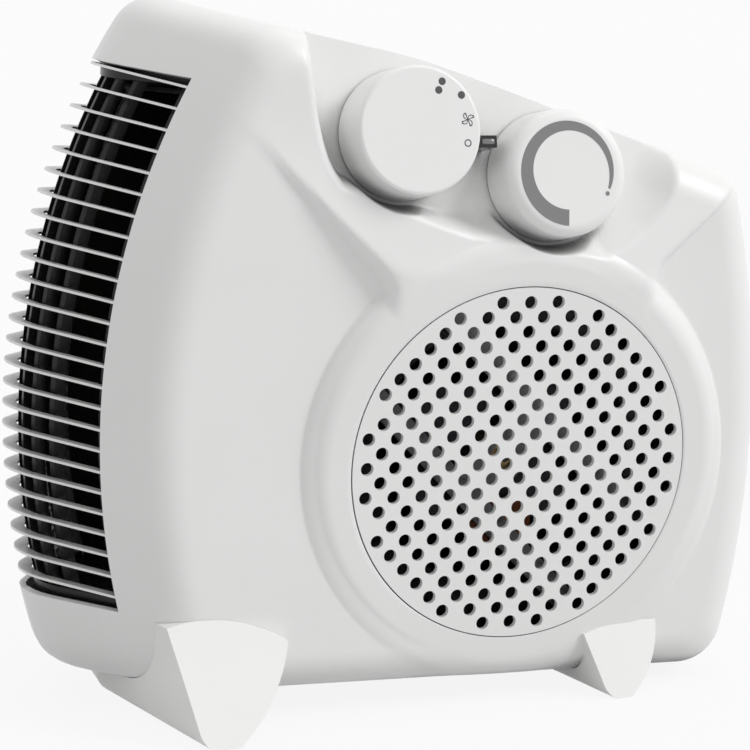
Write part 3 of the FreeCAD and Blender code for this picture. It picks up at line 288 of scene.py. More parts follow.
def lens_window(material):
    """Clear window let into the top of the light bar: a thin plate with a rounded rim.

    Its outline is a rounded oblong: cosine and sine to a small power, times half its length and width.
    """
    across, up, out = face_axes("mode_knob_turn")
    points = points_of("indicator_lens")
    top = (points @ out).max()
    middle = points[points @ out > top - FLAT_WITHIN * MM].mean(0)
    face = (middle, across, up, out)
    unit = round_turn(WINDOW_SIDES)[1]
    rim = np.sign(unit) * np.abs(unit) ** WINDOW_SQUARE * (WINDOW_LONG / 2, WINDOW_WIDE / 2)
    rings = [on_face(face, *(rim * share).T, np.full(WINDOW_SIDES, rise)) for share, rise in WINDOW_STEPS]
    faces = [f[::-1] for f in grid_faces(len(rings), WINDOW_SIDES, False, True)]
    faces.append(list(range((len(rings) - 1) * WINDOW_SIDES, len(rings) * WINDOW_SIDES)))
    return add_piece("indicator_window", np.concatenate(rings), faces, "heater", material, "lens")


# Front shell in the casing's own axes, millimetres: X right, Z up, the outside at -Y.
# A depth t runs from nought at the parting plane to HALF_DEPTH at the front panel.
HALF_DEPTH = 60.0
WALL = 2.2
DRAFT = math.tan(math.radians(1.0))
EDGE_ROUND = 13.0

# Outline: bowed outlet side on the left, bowed right side, top with two slopes, flat bottom
NOSE_X, NOSE_Z, NOSE_BOW = 159.3, 12.0, 245.0
NOSE_RADIUS, NOSE_ANGLE, LEFT_ROUND = 28.0, math.radians(34.0), 16.8
RIGHT_X, RIGHT_Z, RIGHT_BOW = 92.9, 8.0, 320.0
TOP_BREAK, TOP_HEIGHT, TOP_BLEND = -31.0, 132.4, 200.0
TOP_SLOPE, TOP_FALL = math.radians(11.6), math.radians(18.6)
BOTTOM = -76.0
CORNERS = {"top_left": 16.0, "top_right": 12.0, "low_right": 16.0, "low_left": 15.0}
CORNER_SHRINK, CORNER_LEAST, LOW_CORNER_GAIN = 0.5, 3.0, 0.25
OUTLET_HALF, OUTLET_TOP, OUTLET_LOW = 40.0, 125.0, -49.5
OUTLET_RISE = math.tan(math.radians(6.5))
CORNER_ROOM = 5.0

# Round platform with the seat of the intake disc
SEAT_RADIUS, SEAT_SINK = 59.85, 0.3
SEAT_FROM, SEAT_TO = SEAT_RADIUS + 1.5, SEAT_RADIUS + 7.0
DISC_PROUD, DISC_TILT, DISC_RADIUS, DISC_ROUND, DISC_DROP = 4.0, math.radians(3.0), 76.0, 9.0, 3.0

# Flare from the platform's neck up to the top edge
FLARE_FADE, FLARE_RISE, FLARE_RUN = 99.5, math.tan(math.radians(10.8)), 0.015
FLARE_LEFT, FLARE_LEFT_TO = (-50.0, 60.0), (-112.0, 126.0)
FLARE_RIGHT, FLARE_RIGHT_TO = (47.0, 63.0), (92.0, 104.0)
FLARE_SIDE, FLARE_SOFT, FLARE_OUTSIDE, FLARE_END = 10.0, 3.0, 2.0, 25.0
FLARE_MEET, FLARE_CREST, NECK_SOFT = 6.0, 2.5, 5.0
BLEND, NECK_BLEND, RING_BLEND = 2.2, 5.0, 0.5

# Knob recess: a tilted floor, a bowl outline in the floor's plane, flanks that are softer on the right
FLOOR_Y, FLOOR_Z, FLOOR_TILT = -56.0, 65.0, math.radians(12.0)
BOWL_CORNERS = ((-75.5, 200.0), (-74.0, 48.0), (-57.5, 21.0), (-20.0, 14.0), (12.0, 1.0), (40.0, 8.5),
                (60.0, 36.0), (66.0, 200.0))
BOWL_STEPS = 14
LIP_RADIUS, LIP_SHIFT, FLOOR_EDGE = 3.0, 2.6, 2.5
FLANK_STEEP, FLANK_SOFT = math.tan(math.radians(14.0)), math.tan(math.radians(38.0))
FOOT_TIGHT, FOOT_SOFT = 2.0, 7.0
SOFT_FROM, SOFT_TO = -38.0, 8.0
SHAFTS = ((-41.0, 43.1), (10.8, 29.4))
SHAFT_HOLE = 4.2
KNOB_CLEAR, KNOB_RUN = 22.5, 2.2

# Grid of the shell: columns on each side of the outline, rows on the wall, the edge round and the panel
COLUMNS = {"outlet": 84, "above": 8, "top_left": 12, "rise": 66, "knee": 12, "fall": 86, "top_right": 16,
           "right": 70, "low_right": 12, "bottom": 76, "low_left": 12, "below": 8}
WALL_DEPTHS = (0.0, 5.0, 10.0, 15.66, 21.0, 27.0, 33.0, OUTLET_HALF, 44.0)
ROUND_ROWS = 11
PANEL_ROWS = 84
SIDE_STEPS, PANEL_STEPS = 2001, 321

# Where the grid is denser: place, width and gain of a bell curve, and the heights between which it comes in
CROWD_SIDES = {"rise": (0.52, 0.09, 4.0), "fall": (0.8, 0.07, 5.0)}
CROWD_LIP, LIP_HEIGHTS = (2.5, 4.0, 5.0), (55.0, 75.0)
CROWD_POCKET, POCKET_HEIGHTS = (KNOB_CLEAR + 1.0, 2.5, 4.0), (55.0, 70.0)
CROWD_CREASE, CREASE_HEIGHTS = (3.0, 6.0, 2.5), (30.0, 50.0)
CROWD_PLATFORM = (71.0, 7.0, 2.5)
EVEN_OUT, EVEN_TIMES, EVEN_HEIGHTS = range(-5, 6), 2, (20.0, 50.0)


def soft_max(a, b, k):
    """The larger of two heights, with the crease between them rounded over a height difference k."""
    h = np.clip(0.5 + 0.5 * (a - b) / k, 0, 1)
    return b + (a - b) * h + k * h * (1 - h)


def soft_min(a, b, k):
    """The smaller of two heights, with the same rounded crease."""
    return -soft_max(-a, -b, k)


def ramp(value, low, high):
    """Smooth step from nought at low to one at high."""
    t = np.clip((value - low) / (high - low), 0, 1)
    return t * t * (3 - 2 * t)


def crowding(value, bell):
    """Extra density about a place: a bell curve with that place, width and height."""
    at, width, gain = bell
    return gain * np.exp(-((value - at) / width) ** 2)


def side_inset(t):
    """Inset of the top, right and bottom sides: a draft angle, then a quarter round into the panel."""
    start = HALF_DEPTH - EDGE_ROUND
    turn = np.arcsin(np.clip((t - start) / EDGE_ROUND, 0, 1))
    return np.minimum(t, start) * DRAFT + EDGE_ROUND * (1 - np.cos(turn))


def nose_line(t):
    """Inset of the outlet side in plan: a round nose, then a straight flank."""
    bend = NOSE_RADIUS * math.sin(NOSE_ANGLE)
    nose = NOSE_RADIUS - np.sqrt(np.maximum(NOSE_RADIUS ** 2 - np.minimum(t, bend) ** 2, 0))
    flank = NOSE_RADIUS - (NOSE_RADIUS - t * math.sin(NOSE_ANGLE)) / math.cos(NOSE_ANGLE)
    return np.where(t <= bend, nose, flank)


def left_inset(t):
    """Inset of the outlet side with the round from its flank into the panel."""
    turn = math.pi / 2 - NOSE_ANGLE
    start = HALF_DEPTH - LEFT_ROUND * (1 - math.cos(turn))
    now = np.arccos(np.clip(1 - (HALF_DEPTH - np.maximum(t, start)) / LEFT_ROUND, -1, 1))
    rounded = nose_line(np.array(start)) + LEFT_ROUND * (math.sin(turn) - np.sin(now))
    return np.where(t <= start, nose_line(t), rounded)


def corner_arc(radius, at, along, up, centre, bow, far):
    """Corner arc that touches a straight side and a bowed side: its centre, straight end and bowed end."""
    rel = at - up * radius - centre
    run = rel @ along
    root = math.sqrt(run * run - rel @ rel + (bow - radius) ** 2)
    middle = at - up * radius + along * (-run + (root if far else -root))
    return middle, middle + up * radius, centre + (middle - centre) * (bow / (bow - radius))


def arc_points(centre, start, end, share):
    """Points along the arc from start to end about a centre, the short way round."""
    first = math.atan2(start[1] - centre[1], start[0] - centre[0])
    last = math.atan2(end[1] - centre[1], end[0] - centre[0])
    sweep = (last - first + math.pi) % TURN - math.pi
    angle = first + sweep * share
    radius = math.hypot(*(start - centre))
    return np.stack([centre[0] + radius * np.cos(angle), centre[1] + radius * np.sin(angle)], 1)


def line_points(start, end, share):
    """Points along a straight line at shares of its length."""
    return start + (end - start) * share[:, None]


def bowed_points(centre, low, high, share):
    """Points of the bowed outlet side at shares of the height from low to high."""
    z = low + (high - low) * share
    return np.stack([centre[0] - np.sqrt(NOSE_BOW ** 2 - (z - NOSE_Z) ** 2), z], 1)


def slope_axes(angle):
    """Directions along and out of a side that falls to the right at an angle."""
    c, s = math.cos(angle), math.sin(angle)
    return np.array([c, -s]), np.array([s, c])


def outline(t, shares):
    """Casing outline at depth t, sampled at the shares given for each of its sides.

    It runs from the low end of the outlet opening up the bowed outlet side, over the two slopes of the top,
    down the bowed right side and back along the bottom.
    """
    a = float(left_inset(np.array(t)))
    b = float(side_inset(np.array(t)))
    left = np.array([-NOSE_X + a + NOSE_BOW, NOSE_Z])
    right = np.array([RIGHT_X - b - RIGHT_BOW, RIGHT_Z])
    rise, rise_up = slope_axes(TOP_SLOPE)
    fall, fall_up = slope_axes(TOP_FALL)
    half = (TOP_FALL - TOP_SLOPE) / 2
    knee_up = (rise_up + fall_up) / np.linalg.norm(rise_up + fall_up)
    knee = np.array([TOP_BREAK, TOP_HEIGHT]) - knee_up * (b / math.cos(half))
    blend = TOP_BLEND - b
    knee_start = knee - rise * blend * math.tan(half)
    knee_end = knee + fall * blend * math.tan(half)
    knee_middle = knee_start - rise_up * blend
    rise_line = (knee, rise, rise_up)
    fall_line = (knee, fall, fall_up)
    low_line = (np.array([0, BOTTOM + b]), np.array([1.0, 0]), np.array([0, -1.0]))
    left_bow = (left, NOSE_BOW, False)
    right_bow = (right, RIGHT_BOW, True)
    radius = {name: full - CORNER_SHRINK * b for name, full in CORNERS.items()}
    radius["low_left"] += a * LOW_CORNER_GAIN
    radius = {name: max(value, CORNER_LEAST) for name, value in radius.items()}
    top_left, top_left_end, top_left_side = corner_arc(radius["top_left"], *rise_line, *left_bow)
    top_right, top_right_end, top_right_side = corner_arc(radius["top_right"], *fall_line, *right_bow)
    low_right, low_right_end, low_right_side = corner_arc(radius["low_right"], *low_line, *right_bow)
    low_left, low_left_end, low_left_side = corner_arc(radius["low_left"], *low_line, *left_bow)
    high = OUTLET_TOP + OUTLET_RISE * max(0.0, float(left_inset(np.array(OUTLET_HALF))) - a)
    high = min(high, top_left_side[1] - CORNER_ROOM)
    low = max(OUTLET_LOW, low_left_side[1] + CORNER_ROOM)
    return np.concatenate([
        bowed_points(left, low, high, shares["outlet"]),
        bowed_points(left, high, top_left_side[1], shares["above"]),
        arc_points(top_left, top_left_side, top_left_end, shares["top_left"]),
        line_points(top_left_end, knee_start, shares["rise"]),
        arc_points(knee_middle, knee_start, knee_end, shares["knee"]),
        line_points(knee_end, top_right_end, shares["fall"]),
        arc_points(top_right, top_right_end, top_right_side, shares["top_right"]),
        arc_points(right, top_right_side, low_right_side, shares["right"]),
        arc_points(low_right, low_right_side, low_right_end, shares["low_right"]),
        line_points(low_right_end, low_left_end, shares["bottom"]),
        arc_points(low_left, low_left_end, low_left_side, shares["low_left"]),
        bowed_points(left, low_left_side[1], low, shares["below"])])


def column_shares():
    """Sample places along each side; the top is denser where the flanks of the recess cross it."""
    shares = {name: np.arange(count) / count for name, count in COLUMNS.items()}
    fine = np.linspace(0, 1, SIDE_STEPS)
    for name, bell in CROWD_SIDES.items():
        weight = np.cumsum(1 + crowding(fine, bell))
        shares[name] = np.interp(shares[name] * weight[-1], weight, fine)
    return shares


def bowl_lines():
    """Half planes whose common part is the bowl outline of the recess floor, as points and outward normals.

    The outline is a quadratic spline: between the middles of two corner lines it bends towards their corner.
    """
    corners = np.array(BOWL_CORNERS)
    middles = (corners[1:] + corners[:-1]) / 2
    t = np.linspace(0, 1, BOWL_STEPS, endpoint=False)[:, None]
    bends = [(1 - t) ** 2 * start + 2 * t * (1 - t) * corner + t * t * end
             for start, corner, end in zip(middles[:-1], corners[1:-1], middles[1:])]
    path = np.concatenate(bends + [middles[-1:], corners[-1:]])
    step = np.diff(path, axis=0)
    normal = np.stack([step[:, 1], -step[:, 0]], 1) / np.linalg.norm(step, axis=1)[:, None]
    return path[:-1], normal


BOWL = bowl_lines()


def up_floor(z):
    """Distance up the tilted recess floor at a height."""
    return (z - FLOOR_Z) / math.cos(FLOOR_TILT)


def bowl_distance(x, z):
    """Signed distance in the floor plane to the bowl outline, negative inside it."""
    place = np.stack([x, up_floor(z)], -1)
    far = np.full(x.shape, -np.inf)
    for point, normal in zip(*BOWL):
        far = np.maximum(far, (place - point) @ normal)
    return far


def knob_distance(x, z):
    """Distance in the floor plane to the nearer knob axis."""
    up = up_floor(z)
    return np.min([np.hypot(x - at, up - rise) for at, rise in SHAFTS], axis=0)


def line_distance(x, z, start, end, side):
    """Signed distance to a straight line, positive on the side asked for."""
    run = np.array(end) - np.array(start)
    run /= np.linalg.norm(run)
    return side * ((x - start[0]) * run[1] - (z - start[1]) * run[0])


def flare_edges(x, z):
    """Signed distances to the flare's left and right edge lines, positive inside the flare."""
    left = line_distance(x, z, FLARE_LEFT, FLARE_LEFT_TO, 1)
    right = line_distance(x, z, FLARE_RIGHT, FLARE_RIGHT_TO, -1)
    return left, right


def disc_plane(z):
    """Height of the platform's tilted plane over the panel."""
    return DISC_PROUD + math.tan(DISC_TILT) * z


def flare_height(x, z):
    """Field around the knobs, proud of the panel: a tilted plane whose two sides roll down to the panel.

    The plane goes no higher than the platform's and ends below the platform's middle. Under the neck, the
    edges turn upright. Inside an edge, the height nears its limit exponentially.
    """
    plane = FLARE_RISE * (FLARE_FADE - z) - FLARE_RUN * x
    plane = soft_min(plane, disc_plane(z), RING_BLEND)
    plane = soft_min(plane, z + FLARE_END, RING_BLEND)
    left, right = flare_edges(x, z)
    left = soft_max(left, x - FLARE_LEFT[0], NECK_SOFT)
    right = soft_max(right, FLARE_RIGHT[0] - x, NECK_SOFT)
    inside = soft_min(left, right, FLARE_MEET)
    climb = FLARE_SIDE * (1 - np.exp(-np.maximum(inside, 0) / FLARE_SOFT))
    side = climb + np.minimum(inside, 0) * FLARE_OUTSIDE
    return soft_min(plane, side, FLARE_CREST)


def disc_height(x, z):
    """Tilted round platform with a round on its edge, as height over the panel, and the radius there."""
    r = np.hypot(x, z / math.cos(DISC_TILT))
    inner = np.clip(r - (DISC_RADIUS - DISC_ROUND), 0, DISC_ROUND)
    drop = DISC_ROUND - np.sqrt(np.maximum(DISC_ROUND ** 2 - inner ** 2, 0))
    drop = drop + np.maximum(r - DISC_RADIUS, 0) * DISC_DROP
    return disc_plane(z) - drop, r


def raised_y(x, z, t):
    """Front surface without the recess: panel or edge round, softly joined to platform and flare."""
    share = ramp(t, HALF_DEPTH - EDGE_ROUND, HALF_DEPTH)
    base = t - HALF_DEPTH
    disc, r = disc_height(x, z)
    field = base + soft_max(flare_height(x, z), np.zeros_like(x), BLEND)
    neck = RING_BLEND + NECK_BLEND * ramp(r, DISC_RADIUS - DISC_ROUND, DISC_RADIUS)
    raised = soft_max(field, disc, neck)
    raised = raised + (disc - raised) * (1 - ramp(r, SEAT_FROM, SEAT_TO))
    return -HALF_DEPTH - base - (raised - base) * share


def front_y(x, z, t):
    """Front surface: the raised surface, sunk to the tilted floor inside the bowl outline.

    The lip is an arc of a circle, then the wall falls at the flank's slope and rounds into the floor.
    Close to a knob axis, the floor is always reached.
    """
    y = raised_y(x, z, t)
    nothing = np.zeros_like(x)
    floor = FLOOR_Y + (z - FLOOR_Z) * math.tan(FLOOR_TILT)
    deep = soft_max(floor - y, nothing, FLOOR_EDGE)
    soft = ramp(x, SOFT_FROM, SOFT_TO)
    flank = FLANK_STEEP + (FLANK_SOFT - FLANK_STEEP) * soft
    reach = LIP_RADIUS + np.maximum(deep - LIP_RADIUS, 0) * FLANK_STEEP
    back = np.clip(reach - LIP_SHIFT * soft - bowl_distance(x, z), 0, None)
    lip_end = LIP_RADIUS / np.sqrt(1 + flank ** 2)
    lip = np.sqrt(LIP_RADIUS ** 2 - np.minimum(back, lip_end) ** 2) - LIP_RADIUS
    fall = lip - np.maximum(back - lip_end, 0) / flank
    left_over = soft_max(deep + fall, nothing, FOOT_TIGHT + (FOOT_SOFT - FOOT_TIGHT) * soft)
    y = y + np.maximum(deep - left_over, 0)
    room = 1 - ramp(knob_distance(x, z), KNOB_CLEAR, KNOB_CLEAR + KNOB_RUN)
    return y + np.maximum(floor - y, 0) * room


def evened(picked, heights):
    """Row places averaged over neighbouring columns, for columns whose seat end lies high."""
    even = picked
    for _ in range(EVEN_TIMES):
        even = np.mean([np.roll(even, k, axis=0) for k in EVEN_OUT], axis=0)
    return picked + (even - picked) * ramp(heights, *EVEN_HEIGHTS)[:, None]


def panel_rows(edge, rim):
    """Row places along each line from the panel's edge to the seat.

    They are denser at the recess lip, the knob pockets, the flare's creases and the platform's round.
    """
    fine = np.linspace(0, 1, PANEL_STEPS)
    line = edge[:, None] + (rim - edge)[:, None] * fine[None, :, None]
    x, z = line[..., 0], line[..., 1]
    left, right = flare_edges(x, z)
    crease = crowding(left, CROWD_CREASE) + crowding(right, CROWD_CREASE)
    weight = 1 + crowding(bowl_distance(x, z), CROWD_LIP) * ramp(z, *LIP_HEIGHTS)
    weight += crowding(knob_distance(x, z), CROWD_POCKET) * ramp(z, *POCKET_HEIGHTS)
    weight += crowding(np.hypot(x, z), CROWD_PLATFORM)
    weight += crease * ramp(z, *CREASE_HEIGHTS)
    total = np.cumsum(weight, axis=1)
    total = (total - total[:, :1]) / (total[:, -1:] - total[:, :1])
    rows = np.arange(1, PANEL_ROWS + 1) / PANEL_ROWS
    picked = np.stack([np.interp(rows, t, fine) for t in total])
    picked = evened(picked, rim[:, 1])
    return edge[:, None] + (rim - edge)[:, None] * picked[..., None]


def shell_grid():
    """Grid of the front shell: rows run from the parting plane over the edge round to the intake's seat."""
    shares = column_shares()
    start = HALF_DEPTH - EDGE_ROUND
    rounds = start + EDGE_ROUND * np.sin(np.linspace(0, math.pi / 2, ROUND_ROWS + 1))
    depths = np.concatenate([WALL_DEPTHS, rounds])
    rings = np.stack([outline(t, shares) for t in depths])
    edge = rings[-1]
    angle = np.arctan2(edge[:, 1], edge[:, 0])
    rim = SEAT_RADIUS * np.stack([np.cos(angle), np.sin(angle) * math.cos(DISC_TILT)], 1)
    panel = panel_rows(edge, rim).transpose(1, 0, 2)
    plan = np.concatenate([rings, panel])
    row_depths = np.concatenate([depths, np.full(len(panel), HALF_DEPTH)])
    t = row_depths[:, None] + np.zeros(plan.shape[1])
    x, z = plan[..., 0], plan[..., 1]
    y = front_y(x, z, t)
    y[-1] += SEAT_SINK
    return np.stack([x, y, z], -1)


def clear_of_shafts(middles):
    """Which face middles lie outside the round holes that the knob shafts pass through."""
    clear = np.full(len(middles), True)
    c, s = math.cos(FLOOR_TILT), math.sin(FLOOR_TILT)
    out = np.array([0, -c, s])
    for x, up in SHAFTS:
        away = middles - np.array([x, FLOOR_Y + up * s, FLOOR_Z + up * c])
        away = away - (away @ out)[:, None] * out
        clear &= np.linalg.norm(away, axis=1) > SHAFT_HOLE
    return clear


def mark_open_edges(mesh):
    """Marks the open edges of a mesh as sharp, so that its cut edges stay crisp when it gains thickness."""
    uses = np.empty(len(mesh.loops), np.int32)
    mesh.loops.foreach_get("edge_index", uses)
    open_edges = np.bincount(uses, minlength=len(mesh.edges)) == 1
    mark = mesh.attributes.get("sharp_edge") or mesh.attributes.new("sharp_edge", "BOOLEAN", "EDGE")
    mark.data.foreach_set("value", open_edges)


def front_shell(material):
    """Front half of the casing as one soft surface with wall thickness; outlet and shaft holes stay open."""
    grid = shell_grid()
    rows, columns = grid.shape[:2]
    faces = np.array(grid_faces(rows, columns, False, True))
    row, column = np.divmod(np.arange(len(faces)), columns)
    points = grid.reshape(-1, 3)
    outlet = (row < WALL_DEPTHS.index(OUTLET_HALF)) & (column < COLUMNS["outlet"])
    keep = ~outlet & clear_of_shafts(points[faces].mean(1))
    used, corners = np.unique(faces[keep], return_inverse=True)
    quads = corners.reshape(-1, 4).tolist()
    to_world = np.array(casing_to_world())
    world = points[used] * MM @ to_world[:3, :3].T + to_world[:3, 3]
    piece = add_piece("front_shell_skin", world, quads, "heater", material, "casing")
    mark_open_edges(piece.data)
    thick = piece.modifiers.new("wall", "SOLIDIFY")
    thick.thickness = WALL * MM
    thick.offset = -1
    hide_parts("front_shell")
    return piece


# Shader node helpers

FLOAT, COLOR = "NodeSocketFloat", "NodeSocketColor"


def wire(tree, source, target):
    """Links one socket to another."""
    tree.links.new(source, target)


def feed(tree, socket, value):
    """Sets a socket to a plain value, or links it where the value is a socket."""
    if isinstance(value, (int, float, tuple)):
        socket.default_value = value
    else:
        wire(tree, value, socket)


def add_node(tree, kind, **values):
    """A node with some of its sockets set, by socket name with underscores for spaces."""
    node = tree.nodes.new(kind)
    for key, value in values.items():
        node.inputs[key.replace("_", " ")].default_value = value
    return node


def group(name, inputs, outputs):
    """An empty shader node group with float or colour sockets."""
    tree = bpy.data.node_groups.new(name, "ShaderNodeTree")
    for label, kind in inputs:
        tree.interface.new_socket(label, in_out="INPUT", socket_type=kind)
    for label, kind in outputs:
        tree.interface.new_socket(label, in_out="OUTPUT", socket_type=kind)
    return tree, tree.nodes.new("NodeGroupInput"), tree.nodes.new("NodeGroupOutput")


def object_place(tree):
    """The surface's place in the piece's own coordinates."""
    return tree.nodes.new("ShaderNodeTexCoord").outputs["Object"]


def math_node(tree, operation, a, b):
    """Two values joined by one operation."""
    node = tree.nodes.new("ShaderNodeMath")
    node.operation = operation
    feed(tree, node.inputs[0], a)
    feed(tree, node.inputs[1], b)
    return node.outputs[0]


def ranged(tree, value, low, high, from_low, from_high):
    """A value mapped from one range to another."""
    node = tree.nodes.new("ShaderNodeMapRange")
    for socket, number in zip(node.inputs[:5], (value, from_low, from_high, low, high)):
        feed(tree, socket, number)
    return node.outputs[0]


def noise(tree, place, scale, detail, roughness):
    """Soft noise over the surface at a scale."""
    node = add_node(tree, "ShaderNodeTexNoise", Detail=detail, Roughness=roughness)
    wire(tree, place, node.inputs["Vector"])
    feed(tree, node.inputs["Scale"], scale)
    return node.outputs["Fac"]


def mixed(tree, share, a, b, blend="MIX"):
    """Two colours mixed by a share."""
    node = tree.nodes.new("ShaderNodeMix")
    node.data_type = "RGBA"
    node.blend_type = blend
    for socket, value in zip((node.inputs[0], node.inputs[6], node.inputs[7]), (share, a, b)):
        feed(tree, socket, value)
    return node.outputs[2]


# Effects shared by the finishes: noises as scale, detail and roughness, and the ranges they are read over
CLOUD_NOISE, CLOUD_RANGE = (18.0, 3.0, 0.55), (0.3, 0.7)
HANDLED_NOISE, HANDLED_RANGE = (55.0, 4.0, 0.65), (0.35, 0.65)
GRAIN_DETAIL, GRAIN_BREAK = 1.0, 0.6
CLOUD_TINT = (0.93, 0.93, 0.925, 1)
SPECK_NOISE, SPECK_RANGE = (320.0, 5.0, 0.7), (0.45, 0.75)
DUST_TINT, DUST_SLOPES = (0.62, 0.60, 0.57, 1), (0.35, 1.0)
LINE_WAVER, LINE_DETAIL, LINE_RANGE = 0.25, 1.0, (0.1, 0.8)
RUBBED_NOISE, RUBBED_RANGE = (240.0, 3.0, 0.5), (0.3, 0.7)
RUBBED_ROUGH = (0.22, 0.45)
# Painted shade in narrow gaps: occlusion samples, the openness range read, and the darkest share of the
# colour
GAP_SHADE_SAMPLES, GAP_SHADE_RANGE, GAP_SHADE_DARKEST = 8, (0.1, 0.5), 0.06
GRAIN_STRENGTH, GRAIN_DEPTH = 0.25, 0.03 * MM
LINE_STRENGTH, LINE_DEPTH = 0.3, 0.04 * MM


def make_moulded_skin():
    """Spark-eroded plastic skin: fine grain, slow cloudiness of the tint, handling that polishes patches."""
    inputs = [("Color", COLOR), ("Cloud", FLOAT), ("Gloss Low", FLOAT), ("Gloss High", FLOAT),
              ("Grain Scale", FLOAT)]
    outputs = [("Color", COLOR), ("Roughness", FLOAT), ("Height", FLOAT)]
    tree, given, out = group("moulded_skin", inputs, outputs)
    place = object_place(tree)
    cloud = noise(tree, place, *CLOUD_NOISE)
    grain = noise(tree, place, given.outputs["Grain Scale"], GRAIN_DETAIL, GRAIN_BREAK)
    handled = noise(tree, place, *HANDLED_NOISE)
    darker = mixed(tree, 1.0, given.outputs["Color"], CLOUD_TINT, "MULTIPLY")
    share = math_node(tree, "MULTIPLY", ranged(tree, cloud, 0.0, 1.0, *CLOUD_RANGE), given.outputs["Cloud"])
    wire(tree, mixed(tree, share, given.outputs["Color"], darker), out.inputs["Color"])
    rough = ranged(tree, handled, given.outputs["Gloss Low"], given.outputs["Gloss High"], *HANDLED_RANGE)
    wire(tree, rough, out.inputs["Roughness"])
    wire(tree, grain, out.inputs["Height"])
    return tree


def make_settled_dust():
    """Dust that lies on faces turned upwards, broken up by noise."""
    tree, given, out = group("settled_dust", [("Color", COLOR), ("Amount", FLOAT)], [("Color", COLOR)])
    place = object_place(tree)
    normal = tree.nodes.new("ShaderNodeNewGeometry").outputs["Normal"]
    split = tree.nodes.new("ShaderNodeSeparateXYZ")
    wire(tree, normal, split.inputs[0])
    up = ranged(tree, split.outputs["Z"], 0.0, 1.0, *DUST_SLOPES)
    specks = ranged(tree, noise(tree, place, *SPECK_NOISE), 0.0, 1.0, *SPECK_RANGE)
    share = math_node(tree, "MULTIPLY", math_node(tree, "MULTIPLY", up, specks), given.outputs["Amount"])
    wire(tree, mixed(tree, share, given.outputs["Color"], DUST_TINT), out.inputs["Color"])
    return tree


def make_drawn_lines():
    """Fine parallel lines along one axis: drawn wire, stacked sheets or brushing."""
    inputs = [("Color", COLOR), ("Dark", COLOR), ("Spacing", FLOAT)]
    outputs = [("Color", COLOR), ("Roughness", FLOAT), ("Height", FLOAT)]
    tree, given, out = group("drawn_lines", inputs, outputs)
    place = object_place(tree)
    wave = add_node(tree, "ShaderNodeTexWave", Distortion=LINE_WAVER, Detail=LINE_DETAIL)
    wave.bands_direction = "Y"
    wire(tree, place, wave.inputs["Vector"])
    wire(tree, given.outputs["Spacing"], wave.inputs["Scale"])
    lines = wave.outputs["Fac"]
    share = ranged(tree, lines, 0.0, 1.0, *LINE_RANGE)
    wire(tree, mixed(tree, share, given.outputs["Dark"], given.outputs["Color"]), out.inputs["Color"])
    rough = ranged(tree, noise(tree, place, *RUBBED_NOISE), *RUBBED_ROUGH, *RUBBED_RANGE)
    wire(tree, rough, out.inputs["Roughness"])
    wire(tree, lines, out.inputs["Height"])
    return tree


MOULDED = make_moulded_skin()
DUST = make_settled_dust()
LINES = make_drawn_lines()


def start_material(name):
    """A material with a Principled shader joined to its output."""
    material = bpy.data.materials.new(name)
    material.use_nodes = True
    tree = material.node_tree
    shader = next(n for n in tree.nodes if n.type == "BSDF_PRINCIPLED")
    return material, tree, shader


def use_group(tree, which, **values):
    """A node group placed in a material with its own values."""
    node = tree.nodes.new("ShaderNodeGroup")
    node.node_tree = which
    for key, value in values.items():
        node.inputs[key.replace("_", " ")].default_value = value
    return node


def bump(tree, height, shader, strength, distance):
    """Fine relief from a height, as a bend of the shader's normal."""
    node = add_node(tree, "ShaderNodeBump", Strength=strength, Distance=distance)
    wire(tree, height, node.inputs["Height"])
    wire(tree, node.outputs["Normal"], shader.inputs["Normal"])


def painted_gap_shade(tree, colour, reach):
    """Painted shade: a colour that darkens in narrow gaps, where shade falls; the colour times a ramp of
    openness.
    """
    openness = add_node(tree, "ShaderNodeAmbientOcclusion", Distance=reach)
    openness.samples = GAP_SHADE_SAMPLES
    share = ranged(tree, openness.outputs["AO"], GAP_SHADE_DARKEST, 1.0, *GAP_SHADE_RANGE)
    return mixed(tree, 1.0, colour, share, "MULTIPLY")


def plastic(name, colour, gloss=(0.34, 0.44), cloud=0.35, grain=1400.0, dust=0.12, gap_shade_reach=0.0, shine=0.5):
    """Moulded plastic: grain, cloudiness, a little dust on what faces up, painted shade in narrow gaps where
    asked for.
    """
    material, tree, shader = start_material(name)
    skin = use_group(tree, MOULDED, Color=colour, Cloud=cloud, Gloss_Low=gloss[0], Gloss_High=gloss[1],
                     Grain_Scale=grain)
    dusty = use_group(tree, DUST, Amount=dust)
    wire(tree, skin.outputs["Color"], dusty.inputs["Color"])
    tint = dusty.outputs["Color"]
    # Painted shade: the colour is darkened where the surface is hemmed in by other surfaces
    if gap_shade_reach:
        tint = painted_gap_shade(tree, tint, gap_shade_reach)
    wire(tree, tint, shader.inputs["Base Color"])
    wire(tree, skin.outputs["Roughness"], shader.inputs["Roughness"])
    shader.inputs["Specular IOR Level"].default_value = shine
    bump(tree, skin.outputs["Height"], shader, GRAIN_STRENGTH, GRAIN_DEPTH)
    return material


def metal(name, colour, dark, spacing):
    """Bare metal with fine lines from rolling, drawing or stacking."""
    material, tree, shader = start_material(name)
    lines = use_group(tree, LINES, Color=colour, Dark=dark, Spacing=spacing)
    shader.inputs["Metallic"].default_value = 1.0
    wire(tree, lines.outputs["Color"], shader.inputs["Base Color"])
    wire(tree, lines.outputs["Roughness"], shader.inputs["Roughness"])
    bump(tree, lines.outputs["Height"], shader, LINE_STRENGTH, LINE_DEPTH)
    return material
